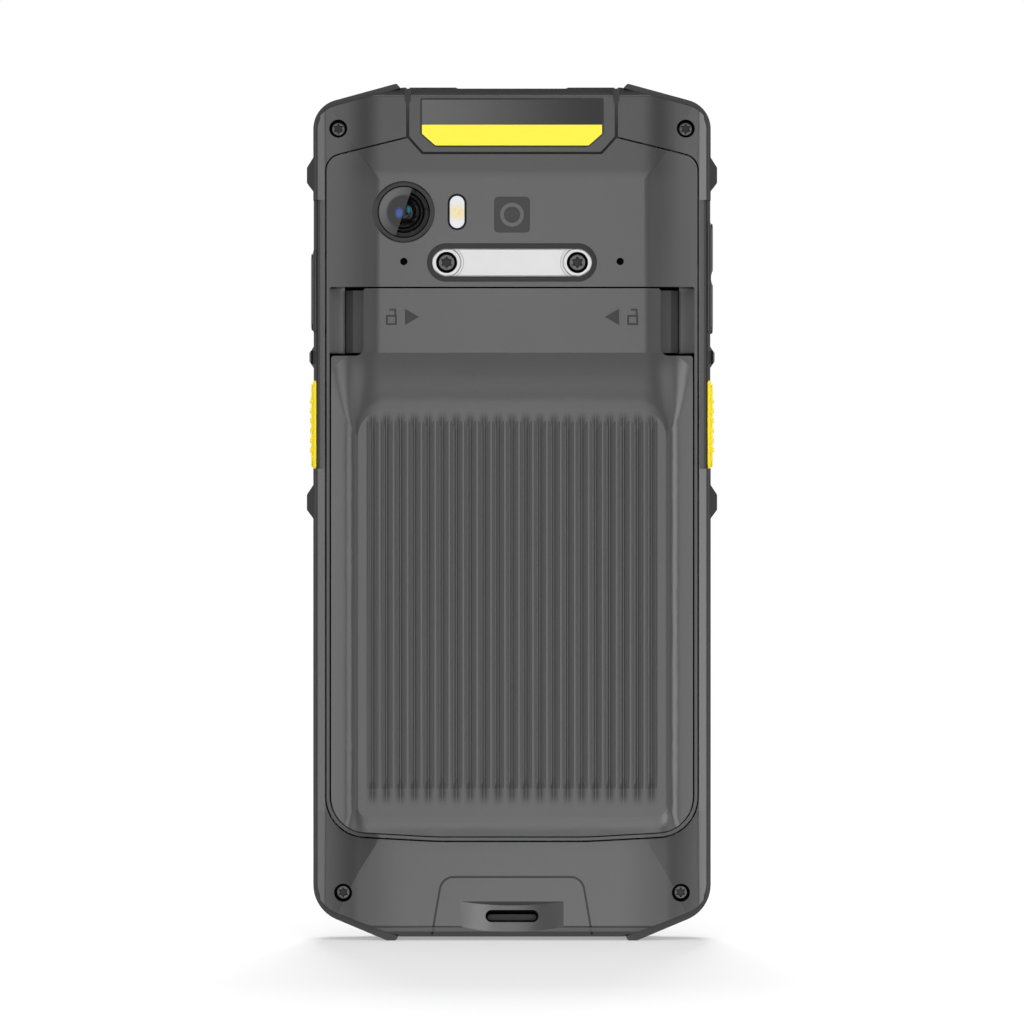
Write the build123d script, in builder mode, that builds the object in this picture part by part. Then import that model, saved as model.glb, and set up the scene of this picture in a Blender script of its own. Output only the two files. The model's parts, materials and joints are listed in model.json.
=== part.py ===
"""Portable barcode data terminal: rugged handheld with a latched, tilting battery pack.

The terminal stands upright: +Z runs along its length, the rear faces -Y and the
touch screen faces +Y. The origin is the centre of the foot.  Heights called h are
measured from the mid plane towards the rear, so y = -h.  All sizes are millimetres.
"""

import os

from build123d import *

# ---------------------------------------------------------------- body
body_width = 73.3
overall_length = 158.0
front_height = 8.5
rear_height = 6.5
battery_bulge = 2.0
tip_rise = 0.7  # bumper tips stand this far past the housing
wall = 1.6
skin = 1.6
seam = 0.3
cap_seam = 0.6
parting = -4.6  # height of the joint between front frame and rear housing
rail = 2.35  # from the side to the seam of the rear panel
side_fall = 11.75  # width of the rear's fall towards each side
side_fall_r = 12.0
side_turn_in, side_turn_drop, side_turn_r = 6.65, 0.52, 100.0
rail_drop = 1.2
crease_from_top = 17.0
crease_top_r = 20.0
head_drop, head_slant = 1.2, 2.0
chin_crease = 18.0
chin_crease_r = 30.0
chin_drop, foot_bevel = 1.0, 1.9
front_bevel, side_bevel = 1.6, 1.8
edge_r, rail_r = 0.8, 4.0
overlap = 0.5  # extra length of cutting tools past the face they open

half = body_width / 2
head = overall_length - tip_rise
foot = tip_rise
wall_in = half - wall
above = rear_height + battery_bulge + 4 * overlap  # clear of the whole rear
loop_x = half - rail
crease_x = half - side_fall

# ---------------------------------------------------------------- rear panel and cap
loop_bottom = 18.4
loop_corner_rise = 1.1
loop_bow_in, loop_bow_r = 20.3, 60.0
loop_corner_r = 7.4
loop_from_top = 13.0
shoulder_in = 15.1
shoulder_rise, shoulder_run = 3.0, 12.1
shoulder_foot = 2.7  # width of the short slope at the cap's foot
loop_side_r, corner_r = 3.0, 0.4
bay_wall_top = 1.2
bay_floor = 0.5
floor_thick, panel_wall = 1.0, 1.0
mid_bevel_in, mid_bevel_drop = 1.25, 1.0

loop_bow_x = loop_x - loop_bow_in
loop_top = overall_length - loop_from_top
shoulder_x = loop_x - shoulder_in
cap_foot_x = shoulder_x - shoulder_foot

# ---------------------------------------------------------------- bumpers
bumper_thick = 1.2
bumper_strip = 0.8
bumper_rear = 4.4
bumper_front = -6.4
bumper_from_top = 21.5
lower_bumper_from_top = 71.0
corner_drop = 4.2
corner_rise = 5.7
tip_flat, tip_out = 1.1, 1.7
tip_fall_top, tip_fall_foot = 0.5, 0.4
top_corner_r = 5.5
bottom_corner_r = 7.0
upper_bump_from_top = 16.8
lower_bump_below = 6.2
bump_out = 1.25
bump_low, bump_high, bump_flat = 3.0, 3.2, 1.4
bumper_bevel, bumper_turn, bump_slope = 0.35, 0.5, 1.7

lower_bumper_end = overall_length - lower_bumper_from_top
upper_bump_z = overall_length - upper_bump_from_top
lower_bump_z = lower_bumper_end - lower_bump_below
top_notch_x = shoulder_x + 1.0
top_tip_x = top_notch_x + tip_flat
bottom_notch_x = shoulder_x + 1.6
bottom_tip_x = bottom_notch_x + tip_out

# ---------------------------------------------------------------- battery pack
battery_gap = 0.3
rim = 0.55
battery_from_top = 37.85
notch_in, notch_length = 6.95, 12.4
notch_r, pack_corner_r = 1.5, 0.5
bulge_in, bulge_from_notch, bulge_rise = 5.99, 9.95, 3.6
ramp_side, ramp_top, ramp_bottom = 4.3, 10.5, 9.0  # run from the bulge's flat to the rear face
ramp_curve = 0.6  # 1 is a straight ramp, less a rounder one
ramp_levels = (0, 0.08, 0.35, 0.7, 1.1, 1.6)  # depths below the flat, in bulge heights
bulge_top_r, bulge_low_r = 5.0, 1.8
ramp_top_r, ramp_low_r = 3.7, 4.7  # growth of the corner radii down to the rear face
cover_base = 4.0
cover_wall = 1.4
cell_r, cell_edge_r = 4.0, 1.0
pack_clear = 0.2  # from the bay floor
tray_inset = 0.6
tray_wall = 1.0
tray_floor = 0.8
tray_neck_in = 6.85
seal_low, seal_high, seal_deep, seal_proud = 0.7, 1.3, 0.3, 0.12
cell_gap, cell_short, cell_drop = 0.5, 6.0, 2.5
groove_pitch = 2.56
groove_depth = 0.38
groove_floor = 0.16
groove_land = 0.36
groove_margin = 1.5
groove_rise, groove_past = 2.6, 0.6
groove_fade = 4.6
land_bulge = 0.28  # fall of a land halfway down its side, as a share of the depth
tab_x = 16.0
tab_width = 6.0
tab_reach = 1.45
tab_root = 1.5
tab_low = 2.9
tab_high = 4.0
tab_room = 0.6

pack_x = loop_x - seam / 2 - rim - battery_gap
pack_bottom = loop_bottom + seam / 2 + rim + battery_gap
battery_top = overall_length - battery_from_top
notch_x = loop_x - notch_in
notch_z = battery_top - notch_length
bulge_x = loop_x - bulge_in
bulge_top = notch_z - bulge_from_notch
bulge_bottom = pack_bottom + bulge_rise
tray_neck_x = notch_x - tray_neck_in
groove_low = bulge_bottom + groove_rise
groove_high = bulge_top + groove_past
groove_count = 2 * int((bulge_x - groove_margin) / groove_pitch) + 1

# ---------------------------------------------------------------- latches
latch_travel = 1.4
latch_top = 3.7
latch_bottom = 1.9
latch_under, latch_past = 5.05, 3.6
latch_bevel = 1.4
latch_lip = 0.4
latch_margin = 0.6
latch_gap = 0.15
scoop_root, scoop_lip, scoop_turn, scoop_rise = 0.1, 0.5, 1.7, 1.0
spring_r = 0.6
spring_wire = 0.2
spring_turns = 5
spring_seat, spring_bore = 3.0, 0.35

latch_x = (notch_x - latch_under, loop_x - latch_past)

# ---------------------------------------------------------------- side keys
key_height = 3.6
key_h = -2.0
key_gap = 0.15
key_proud = 0.55
key_edge_r = 0.35
key_travel = 0.5
flange_thick = 0.6
flange_edge = 0.5
flange_gap = 0.05
dome_gap = 0.05
dome_thick = 0.4
dome_r = 1.5
flex_thick, flex_past, flex_end = 0.25, 4.0, 2.5
web_thick, web_below, web_above = 0.8, 5.05, 11.7
power_from_top, power_length = 38.2, 14.4
volume_from_top, volume_length = 35.7, 20.6
scan_from_top, scan_length = 62.95, 15.5
nub_pitch, nub_count, nub_width, nub_high = 1.82, 6, 0.9, 0.2
rocker_pivot = 5.0
rocker_gap = 0.2
waist_depth, waist_r = 0.35, 3.0
lobe_centre = 7.5
guard_from_top, guard_proud, guard_flat, guard_low = 50.4, 0.8, 0.8, 2.0
guard_edge, guard_r = 0.2, 0.25

power_z = overall_length - power_from_top
volume_z = overall_length - volume_from_top
scan_z = overall_length - scan_from_top
guard_z = overall_length - guard_from_top

# ---------------------------------------------------------------- side cover
side_cover_below, side_cover_length = 16.4, 13.2
side_cover_gap = 0.2
side_cover_proud, side_cover_lift, side_cover_bevel = 0.1, 0.05, 0.3
side_port_edge = 0.5
plug_margin, plug_clear, plug_reach = 2.6, 1.0, 0.1
contact_port_margin = 2.0
side_contact_thick, side_contact_gap, side_contact_margin = 1.55, 0.35, 2.2

side_cover_z = lower_bumper_end - side_cover_below

# ---------------------------------------------------------------- front
rim_lip = 0.5
glass_thick = 1.0
glass_inset = 2.3
glass_gap = 0.1
ledge = 1.6
ledge_thick = 0.8
display_gap = 0.25
display_below_head, display_thick = 20.0, 1.8
plate_thick = 0.8
plate_gap = 0.1
board_thick = 0.8
standoff, standoff_r, mid_gap = 0.9, 1.9, 0.2

# ---------------------------------------------------------------- rear details
camera_in, camera_from_top = 16.75, 23.8
camera_r, camera_gap = 5.7, 0.04
window_r = 4.77
window_thick = 0.8
window_rest = 0.9  # the glass's depth below the rear, and its rim's width
ring_deep, ring_proud, ring_bevel = 1.9, 0.25, 0.3
camera_box = 8.6
barrel_r, barrel_low, barrel_top, pupil_r, pupil_deep = 3.45, 3.4, 1.2, 2.04, 0.8
flash_in = 9.8
flash_length, flash_width = 5.9, 2.68
flash_rim, flash_deep, frame_deep, flash_sink, flash_gap = 0.41, 1.5, 2.0, 0.1, 0.05
led_width, led_length = 1.5, 2.2
mark_from_top, mark_size = 24.3, 6.6
mark_ring_r, mark_dot_r = 2.2, 1.5
coil_gap, coil_size, coil_band = 2.85, (14.0, 9.0), 3.0
coil_thick = 0.25
strap_from_top = 33.1
strap_length, strap_width = 29.3, 5.07
strap_border = 1.0
strap_end = 2.62
strap_sink, strap_proud, strap_bevel = 0.9, 0.25, 0.2
strap_counterbore_r, strap_counterbore = 1.97, 0.35
mic_out, mic_r, mic_up = 4.25, 0.68, 0.2
mic_size, mic_thick = 2.6, 1.2
label_out, label_foot, label_from_top = 2.35, 11.8, 2.8
label_cut_x, label_cut_z = 2.75, 2.4
label_thick, label_gap = 0.4, 0.05
deboss = 0.15
icon_below = 5.25
icon_half, arrow_in, arrow_length, lock_in, lock_half = 1.5, 7.65, 2.6, 5.15, 1.0
lock_line, shackle_x = 0.35, 0.9

camera_x = -(half - camera_in)
camera_z = overall_length - camera_from_top
flash_x = camera_x + flash_in
coil_x = flash_x + flash_width / 2 + flash_rim + coil_gap + coil_size[0] / 2
mark_z = overall_length - mark_from_top
strap_z = overall_length - strap_from_top
strap_pitch = strap_length - 2 * strap_end
mic_x = strap_length / 2 + strap_border + mic_out
label_x = shoulder_x - label_out
label_low = overall_length - label_foot
label_high = overall_length - label_from_top
icon_z = battery_top - icon_below
arrow_x = notch_x - arrow_in

# ---------------------------------------------------------------- fasteners
screw_top_in, screw_top_drop = 4.65, 8.4
screw_foot_in, screw_foot_rise = 5.55, 8.9
screw_head_r, screw_head_high = 1.28, 0.9
screw_well_r = 1.67
screw_seat = 3.4
screw_r = 0.75
screw_clear = 0.06
screw_short = 0.4
post_r = 2.6
head_edge_r, recess_deep = 0.25, 0.45
screw_recess_r, strap_recess_r = 0.75, 0.85
strap_screw_head_r, strap_screw_head = 1.48, 0.75
strap_screw_r, strap_screw_length = 1.0, 2.9
nut_r, nut_gap, nut_boss_r, nut_deep = 1.88, 0.02, 2.9, 2.4
nut_length = 2.15
board_screw_head_r, board_screw_head = 1.3, 0.6
board_screw_in, board_screw_up = 4.2, 4.0

# ---------------------------------------------------------------- chin and scanner
slot_width, slot_height, slot_z = 9.8, 2.26, 4.55
slot_depth = 2.6
slot_wall, slot_floor, slot_root = 1.4, 0.6, 0.2
usb_width, usb_height, usb_length = 8.94, 3.2, 7.3
usb_gap, usb_rise, usb_shell, usb_back = 0.3, 0.5, 0.3, 1.4
tongue_width, tongue_thick, tongue_in = 6.7, 0.7, 0.6
groove_line = 0.4
chin_foot_x, chin_top_x, chin_top, chin_r, chin_deep = 14.9, 12.9, 11.85, 2.6, 0.3
hollow_r, hollow_deep, hollow_top = 60.0, 0.63, 7.3
engine_width, engine_high, engine_thick = 21.0, 9.6, 5.2
engine_h = 0.8
engine_gap, engine_play = 0.3, 0.1
engine_foot_x, engine_foot_z = 5.0, 5.0
imager_x, imager_r, aimer_x, aimer_r = -4.5, 2.0, 5.5, 1.3
lens_deep, lens_thick, lens_edge_r, lens_gap = 2.5, 2.3, 0.5, 0.05
scan_glass_width, scan_glass_thick, scan_glass_sink = 22.0, 1.0, 0.2
scan_glass_rim, scan_glass_r = 0.8, 1.4
gasket_out, gasket_width = 1.0, 0.4

# ---------------------------------------------------------------- boards
board_below_head, board_foot = 17.5, 25.5
board_gap, board_in, board_r, board_foot_gap = 3.0, 1.0, 1.0, 0.9
flex_rise, flex_into, flex_width, flex_film = 0.5, 1.0, 16.0, 0.2
flex_room, flex_foot = 1.0, 5.0
sub_board_in, sub_screw_in, sub_screw_drop = 9.65, 3.0, 5.0
contact_width, contact_high, contact_up, contact_gap = 12.0, 6.0, 2.2, 0.2
pad_pitch, pin_size, pad_size, pad_thick = 2.8, (1.2, 3.2), (1.8, 4.0), 0.3
pin_gap = 0.02
pack_board_width, pack_board_thick = 40.0, 0.8
pack_board_down, pack_board_up = 5.6, 6.0
card_left, card_width, card_below, card_length = 6.0, 16.0, 38.0, 16.0
card_gap, card_thick = 0.5, 1.5
shield_left, shield_thick, shield_r = -24.0, 1.6, 0.3
cpu_width, cpu_below, cpu_length = 22.0, 40.0, 24.0
radio_width, radio_up, radio_below = 28.0, 6.5, 46.0
speaker_in, speaker_width, speaker_low, speaker_length, speaker_thick = 11.65, 15.0, 5.5, 9.0, 3.4
motor_in, motor_z, motor_r, motor_thick = 19.15, 9.5, 4.0, 2.7
earpiece_from_top, earpiece_width, earpiece_height = 9.5, 12.0, 4.4
earpiece_slot, earpiece_slit, ear_part_thick = 11.0, 1.2, 1.7
front_camera_x, front_camera_r = -14.0, 2.4
sensor_x, sensor_width, sensor_height, sensor_thick = 11.0, 3.0, 2.0, 1.0

# ---------------------------------------------------------------- worked out from the above
glass_top = -(front_height - rim_lip)
glass_base = glass_top + glass_thick
display_base = glass_base + display_thick
mid_top = display_base + plate_gap
mid_base = mid_top + plate_thick
board_front = mid_base + standoff
board_rear = board_front + board_thick
floor_top = bay_floor + floor_thick
pack_base = floor_top + pack_clear
key_room = flange_gap + flange_thick + key_travel + dome_gap
web_x = wall_in - key_room - dome_thick - flex_thick
usb_h = board_rear + usb_height / 2
nut_low = rear_height - skin - nut_deep
strap_seat = rear_height - strap_sink + strap_counterbore
engine_top = head - wall - engine_gap
engine_foot = engine_top - engine_high
board_top = overall_length - board_below_head
board_edge = web_x - board_in
sub_top = board_foot - board_gap
sub_foot = foot + wall + board_foot_gap
sub_edge = half - sub_board_in
flex_z = sub_top + flex_rise
display_foot = flex_z - flex_into
display_width = 2 * (half - glass_inset - ledge - display_gap)
display_length = overall_length - display_below_head - display_foot
display_z = display_foot + display_length / 2
contact_z = bulge_top + contact_up
card_window = (card_left, card_left + card_width,
               contact_z - card_below, contact_z - card_below + card_length)
earpiece_z = overall_length - earpiece_from_top
screw_top = (half - screw_top_in, overall_length - screw_top_drop)
screw_foot = (half - screw_foot_in, screw_foot_rise)
sides = (("left", -1), ("right", 1))
screw_places = [(s * x, z) for x, z in (screw_top, screw_foot) for s in (-1, 1)]
strap_places = [(s * strap_pitch / 2, strap_z) for s in (-1, 1)]
board_screws_at = [(s * (board_edge - board_screw_in), z) for s in (-1, 1)
                   for z in (board_foot + board_screw_up, board_top - board_screw_up)]
board_screws_at += [(s * (sub_edge - sub_screw_in), sub_top - sub_screw_drop) for s in (-1, 1)]
pad_places = [(column * pad_pitch, contact_z) for column in (-1.5, -0.5, 0.5, 1.5)]


# ================================================================ drawing helpers
def rear(h):
    """Plane at height h that looks out of the rear."""
    return Plane.XZ.offset(h)


def face_of(corners):
    """Closed face through corners (x, z, fillet radius)."""
    points = [(x, z) for x, z, r in corners]
    radii = [r for x, z, r in corners]
    with BuildSketch() as face:
        with BuildLine():
            FilletPolyline(*points, radius=radii, close=True)
        make_face()
    return face.sketch


def twin_face(corners):
    """Closed face that is symmetrical about x = 0, from the corners of its right half."""
    left = [(-x, z, r) for x, z, r in reversed(corners)]
    return face_of(list(corners) + left)


def grown(profile, amount):
    """Profile with every edge moved out by amount."""
    with BuildSketch() as face:
        add(profile)
        offset(amount=amount, kind=Kind.INTERSECTION)
    return face.sketch


def box_face(x0, x1, z0, z1):
    """Rectangle between two corners."""
    with BuildSketch() as face:
        with Locations(((x0 + x1) / 2, (z0 + z1) / 2)):
            Rectangle(abs(x1 - x0), abs(z1 - z0))
    return face.sketch


def stadium(x, z, length, width, turn=0):
    """Slot outline of overall length and width."""
    with BuildSketch() as face:
        with Locations(Location((x, z), turn)):
            SlotOverall(length, width)
    return face.sketch


def discs(places, radius):
    """Circles at each (x, z)."""
    with BuildSketch() as face:
        with Locations(*places):
            Circle(radius)
    return face.sketch


def prism(profile, low, high):
    """Solid of the profile between two heights."""
    with BuildPart() as solid:
        with BuildSketch(rear(low)):
            add(profile)
        extrude(amount=high - low)
    return solid.part


def side_prism(profile, x0, x1):
    """Solid of a (y, z) profile between two x places."""
    with BuildPart() as solid:
        with BuildSketch(Plane.YZ.offset(x0)):
            add(profile)
        extrude(amount=x1 - x0)
    return solid.part


def block(x0, x1, low, high, z0, z1):
    """Box between two x places, two heights and two z places."""
    return prism(box_face(x0, x1, z0, z1), low, high)


def ring_prism(profile, outward, inward, low, high):
    """Ring between the profile grown outward and drawn inward, between two heights."""
    with BuildPart() as ring:
        with BuildSketch(rear(low)):
            add(grown(profile, outward))
            add(grown(profile, -inward), mode=Mode.SUBTRACT)
        extrude(amount=high - low)
    return ring.part


def mirrored(part):
    """The part mirrored to the other side of x = 0."""
    return mirror(part, about=Plane.YZ)


def pair(left, right):
    """Left and right pieces kept together as one group."""
    with BuildPart() as both:
        add(left)
        add(right)
    return both.part


def on_side(part, sign):
    """A part drawn on the right, moved to the side of the sign."""
    return part if sign > 0 else mirrored(part)


# ================================================================ outlines
def body_face(side=half):
    """Front outline of the housing, with its sides at the given half width."""
    foot_slope = (corner_rise + bumper_thick - foot) / (half - bottom_notch_x)
    head_slope = (corner_drop + bumper_thick - tip_rise) / (half - top_notch_x)
    inset = half - side
    return twin_face([
        (bottom_notch_x, foot, 1.0),
        (side, corner_rise + bumper_thick - inset * foot_slope, bottom_corner_r - inset),
        (side, overall_length - corner_drop - bumper_thick + inset * head_slope,
         top_corner_r - inset),
        (top_notch_x, head, 1.0),
    ])


def bumper_face():
    """Outer outline of the bumpers, with their tips and side bumps."""
    def bump(z):
        return [(half, z - bump_low, corner_r), (half + bump_out, z - bump_flat, corner_r),
                (half + bump_out, z + bump_flat, corner_r), (half, z + bump_high, corner_r)]

    corners = [
        (bottom_notch_x, tip_rise + tip_fall_foot, 0),
        (bottom_tip_x - tip_flat, 0, corner_r),
        (bottom_tip_x + tip_flat / 2, 0, corner_r),
        (half, corner_rise, bottom_corner_r),
    ]
    corners += bump(lower_bump_z) + bump(upper_bump_z)
    corners += [
        (half, overall_length - corner_drop, top_corner_r),
        (top_tip_x, overall_length, corner_r),
        (top_notch_x, head - tip_fall_top, 0),
    ]
    return twin_face(corners)


def loop_face():
    """Centre line of the seam round the rear panel."""
    side_top = loop_top + shoulder_rise * (1 - shoulder_in / shoulder_run)
    return twin_face([
        (loop_bow_x, loop_bottom, loop_bow_r),
        (loop_x, loop_bottom + loop_corner_rise, loop_corner_r),
        (loop_x, side_top, loop_side_r),
        (shoulder_x, loop_top + shoulder_rise, corner_r),
        (cap_foot_x, loop_top, corner_r),
    ])


def cap_face():
    """Centre line of the seam round the scanner cap."""
    return twin_face([
        (cap_foot_x, loop_top, corner_r),
        (shoulder_x, loop_top + shoulder_rise, corner_r),
        (shoulder_x, overall_length + overlap, 0),
    ])


def pack_face(inset=0.0, neck=notch_x, neck_z=notch_z):
    """Battery pack outline, drawn in by inset, with its latch notches."""
    corner = loop_corner_r - rim - battery_gap - inset
    return twin_face([
        (loop_bow_x, pack_bottom + inset, loop_bow_r),
        (pack_x - inset, pack_bottom + loop_corner_rise + inset, corner),
        (pack_x - inset, neck_z - inset, pack_corner_r),
        (neck, neck_z - inset, notch_r),
        (neck, battery_top - inset, pack_corner_r),
    ])


def bay_face():
    """Opening of the battery bay."""
    low = pack_bottom - battery_gap
    return twin_face([
        (loop_bow_x, low, loop_bow_r),
        (pack_x + battery_gap, low + loop_corner_rise, loop_corner_r - rim),
        (pack_x + battery_gap, battery_top + battery_gap, corner_r),
    ])


def label_face(inset=0.0):
    """Outline of the name plate with its two cut corners."""
    return twin_face([
        (label_x - label_cut_x, label_low + inset, corner_r),
        (label_x - inset, label_low + label_cut_z, corner_r),
        (label_x - inset, label_high - inset, corner_r),
    ])


# ================================================================ envelope
def make_envelope():
    """Outer form of the closed body, without bumpers and battery bulge."""
    with BuildPart() as form:
        with BuildSketch(rear(-front_height)):
            add(body_face())
        extrude(amount=front_height + rear_height)
        with BuildSketch(Plane.XY):
            add(twin_face([
                (crease_x, -rear_height, side_fall_r),
                (half - side_turn_in, -rear_height + side_turn_drop, side_turn_r),
                (loop_x, -rear_height + rail_drop, rail_r),
                (half, -bumper_rear, edge_r),
                (half, front_height - side_bevel, edge_r),
                (half - front_bevel, front_height, edge_r),
            ]))
        extrude(amount=overall_length, mode=Mode.INTERSECT)
        with BuildSketch(Plane.YZ.offset(-body_width)):
            add(face_of([
                (-rear_height + chin_drop + foot_bevel, foot - overlap, 0),
                (-rear_height + chin_drop, foot + foot_bevel, edge_r),
                (-rear_height, chin_crease, chin_crease_r),
                (-rear_height, overall_length - crease_from_top, crease_top_r),
                (-rear_height + head_drop, head - front_bevel, edge_r),
                (-rear_height + head_drop + head_slant, head + overlap, 0),
                (front_height - front_bevel, head + overlap, 0),
                (front_height, head - front_bevel, edge_r),
                (front_height, foot + front_bevel, edge_r),
                (front_height - front_bevel, foot - overlap, 0),
            ]))
        extrude(amount=2 * body_width, mode=Mode.INTERSECT)
    return form.part


envelope = make_envelope()


def sunk(depth):
    """The envelope sunk below the rear surface by depth."""
    return envelope.moved(Location((0, depth, 0)))


def make_interior():
    """Hollow of the closed body behind its walls and rear skin."""
    with BuildPart() as hollow:
        add(sunk(skin))
        with BuildSketch(rear(-above)):
            add(grown(body_face(), -wall))
        extrude(amount=2 * above, mode=Mode.INTERSECT)
    return hollow.part


interior = make_interior()
bumper_inner = body_face(half - bumper_strip)


def bumper_zone(z0, z1):
    """Space of the bumper strips between two z places."""
    with BuildPart() as zone:
        with BuildSketch(rear(bumper_front)):
            add(box_face(-body_width, body_width, z0, z1))
            add(bumper_inner, mode=Mode.SUBTRACT)
        extrude(amount=bumper_rear + overlap - bumper_front)
    return zone.part


upper_zone = bumper_zone(overall_length - bumper_from_top, overall_length + overlap)
lower_zone = bumper_zone(-overlap, lower_bumper_end)


# ================================================================ keys in the side walls
def wall_slot(z, length, h_mid, height, gap):
    """Opening through the right wall for a key of this length and height."""
    outline = stadium(-h_mid, z, length + 2 * gap, height + 2 * gap, 90)
    return side_prism(outline, wall_in - overlap, half + bump_out)


def make_key(z, length, nubs):
    """Side key on the right: cap, inner flange and finger nubs."""
    with BuildPart() as key:
        with BuildSketch(Plane.YZ.offset(wall_in - flange_gap)):
            add(stadium(-key_h, z, length, key_height, 90))
        extrude(amount=wall + flange_gap + key_proud)
        fillet(key.edges().group_by(Axis.X)[-1], key_edge_r)
        with BuildSketch(Plane.YZ.offset(wall_in - flange_gap - flange_thick)):
            add(stadium(-key_h, z, length + 2 * flange_edge, key_height + 2 * flange_edge, 90))
        extrude(amount=flange_thick)
        for row in range(nubs):
            nub_centre = z + (row - (nubs - 1) / 2) * nub_pitch
            with BuildSketch(Plane.YZ.offset(half + key_proud - nub_high)):
                add(stadium(-key_h, nub_centre, key_height - nub_width, nub_width))
            extrude(amount=2 * nub_high)
    return key.part


def make_rocker():
    """Two-lobed volume rocker on the right, held by a short flange at its pivot."""
    inner = wall_in - rocker_gap
    low_y, high_y = -key_h - key_height / 2, -key_h + key_height / 2
    low_z, high_z = volume_z - rocker_pivot / 2, volume_z + rocker_pivot / 2
    with BuildPart() as rocker:
        with BuildSketch(Plane.YZ.offset(wall_in - flange_gap)):
            add(stadium(-key_h, volume_z, volume_length, key_height, 90))
        extrude(amount=wall + flange_gap + key_proud)
        fillet(rocker.edges().group_by(Axis.X)[-1], key_edge_r)
        with BuildSketch(rear(key_h - key_height)):
            with Locations((half + key_proud + waist_r - waist_depth, volume_z)):
                Circle(waist_r)
        extrude(amount=2 * key_height, mode=Mode.SUBTRACT)
        with BuildSketch(Plane.YZ.offset(inner - flange_thick)):
            add(box_face(low_y - flange_edge, high_y + flange_edge, low_z, high_z))
        extrude(amount=flange_thick)
        with BuildSketch(Plane.YZ.offset(inner)):
            add(box_face(low_y, high_y, low_z, high_z))
        extrude(amount=rocker_gap)
    return rocker.part


def make_domes(places):
    """Snap domes on the right key flex, one at each z."""
    with BuildPart() as domes:
        with BuildSketch(Plane.YZ.offset(web_x + flex_thick)):
            add(discs([(-key_h, z) for z in places], dome_r))
        extrude(amount=dome_thick)
        fillet(domes.edges().group_by(Axis.X)[-1], dome_thick / 2)
    return domes.part


def make_key_flex(z0, z1):
    """Flexible board behind the right keys."""
    return block(web_x, web_x + flex_thick, key_h - key_height / 2, key_h + key_height / 2,
                 z0, z1)


# ================================================================ rear housing
def mid_bevel():
    """Cut that bevels the right rail beside the keys."""
    with BuildPart() as bevel:
        with BuildSketch(Plane.XY.offset(lower_bumper_end)):
            add(face_of([
                (loop_x + seam / 2, -rear_height + rail_drop, 0),
                (half - mid_bevel_in, -rear_height + rail_drop + mid_bevel_drop, corner_r),
                (half + overlap, -key_h - key_height / 2 - web_thick, 0),
                (half + overlap, -above, 0),
                (loop_x + seam / 2, -above, 0),
            ]))
        extrude(amount=overall_length - bumper_from_top - lower_bumper_end)
    return bevel.part


def guard():
    """Small guard bump on the right rail between the keys."""
    low_h, high_h = key_h - key_height / 2 - guard_edge, key_h + key_height
    return prism(face_of([
        (half - overlap, guard_z - guard_low, 0),
        (half, guard_z - guard_low, guard_r),
        (half + guard_proud, guard_z - guard_flat, guard_r),
        (half + guard_proud, guard_z + guard_flat, guard_r),
        (half, guard_z + guard_low, guard_r),
        (half - overlap, guard_z + guard_low, 0),
    ]), low_h, high_h)


def chin_groove():
    """Shallow U-shaped line round the strap slot."""
    line = twin_face([
        (chin_foot_x, foot - overlap, 0),
        (chin_top_x, chin_top, chin_r),
    ])
    with BuildPart() as groove:
        add(ring_prism(line, groove_line / 2, groove_line / 2, bay_floor, above))
        add(sunk(chin_deep), mode=Mode.SUBTRACT)
        add(block(-half, half, bay_floor, above, -1, foot + foot_bevel / 4), mode=Mode.SUBTRACT)
    return groove.part


def chin_hollow():
    """Shallow round hollow about the strap slot, open at the foot."""
    slope = chin_drop / (chin_crease - foot - foot_bevel)
    rear_at_top = rear_height - slope * (chin_crease - hollow_top)
    axis = Plane(origin=(0, -rear_at_top + hollow_deep - hollow_r, hollow_top),
                 x_dir=(1, 0, 0), z_dir=(0, -slope, 1))
    with BuildPart() as hollow:
        with BuildSketch(axis):
            Circle(hollow_r)
        extrude(amount=2 * hollow_top, both=True)
        with BuildSketch(Plane.YZ.offset(-half)):
            add(face_of([
                (-above, -overlap, 0),
                (-above, hollow_top + above - rear_at_top, 0),
                (0, hollow_top - rear_at_top, 0),
                (0, -overlap, 0),
            ]))
        extrude(amount=body_width, mode=Mode.INTERSECT)
    return hollow.part


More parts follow.
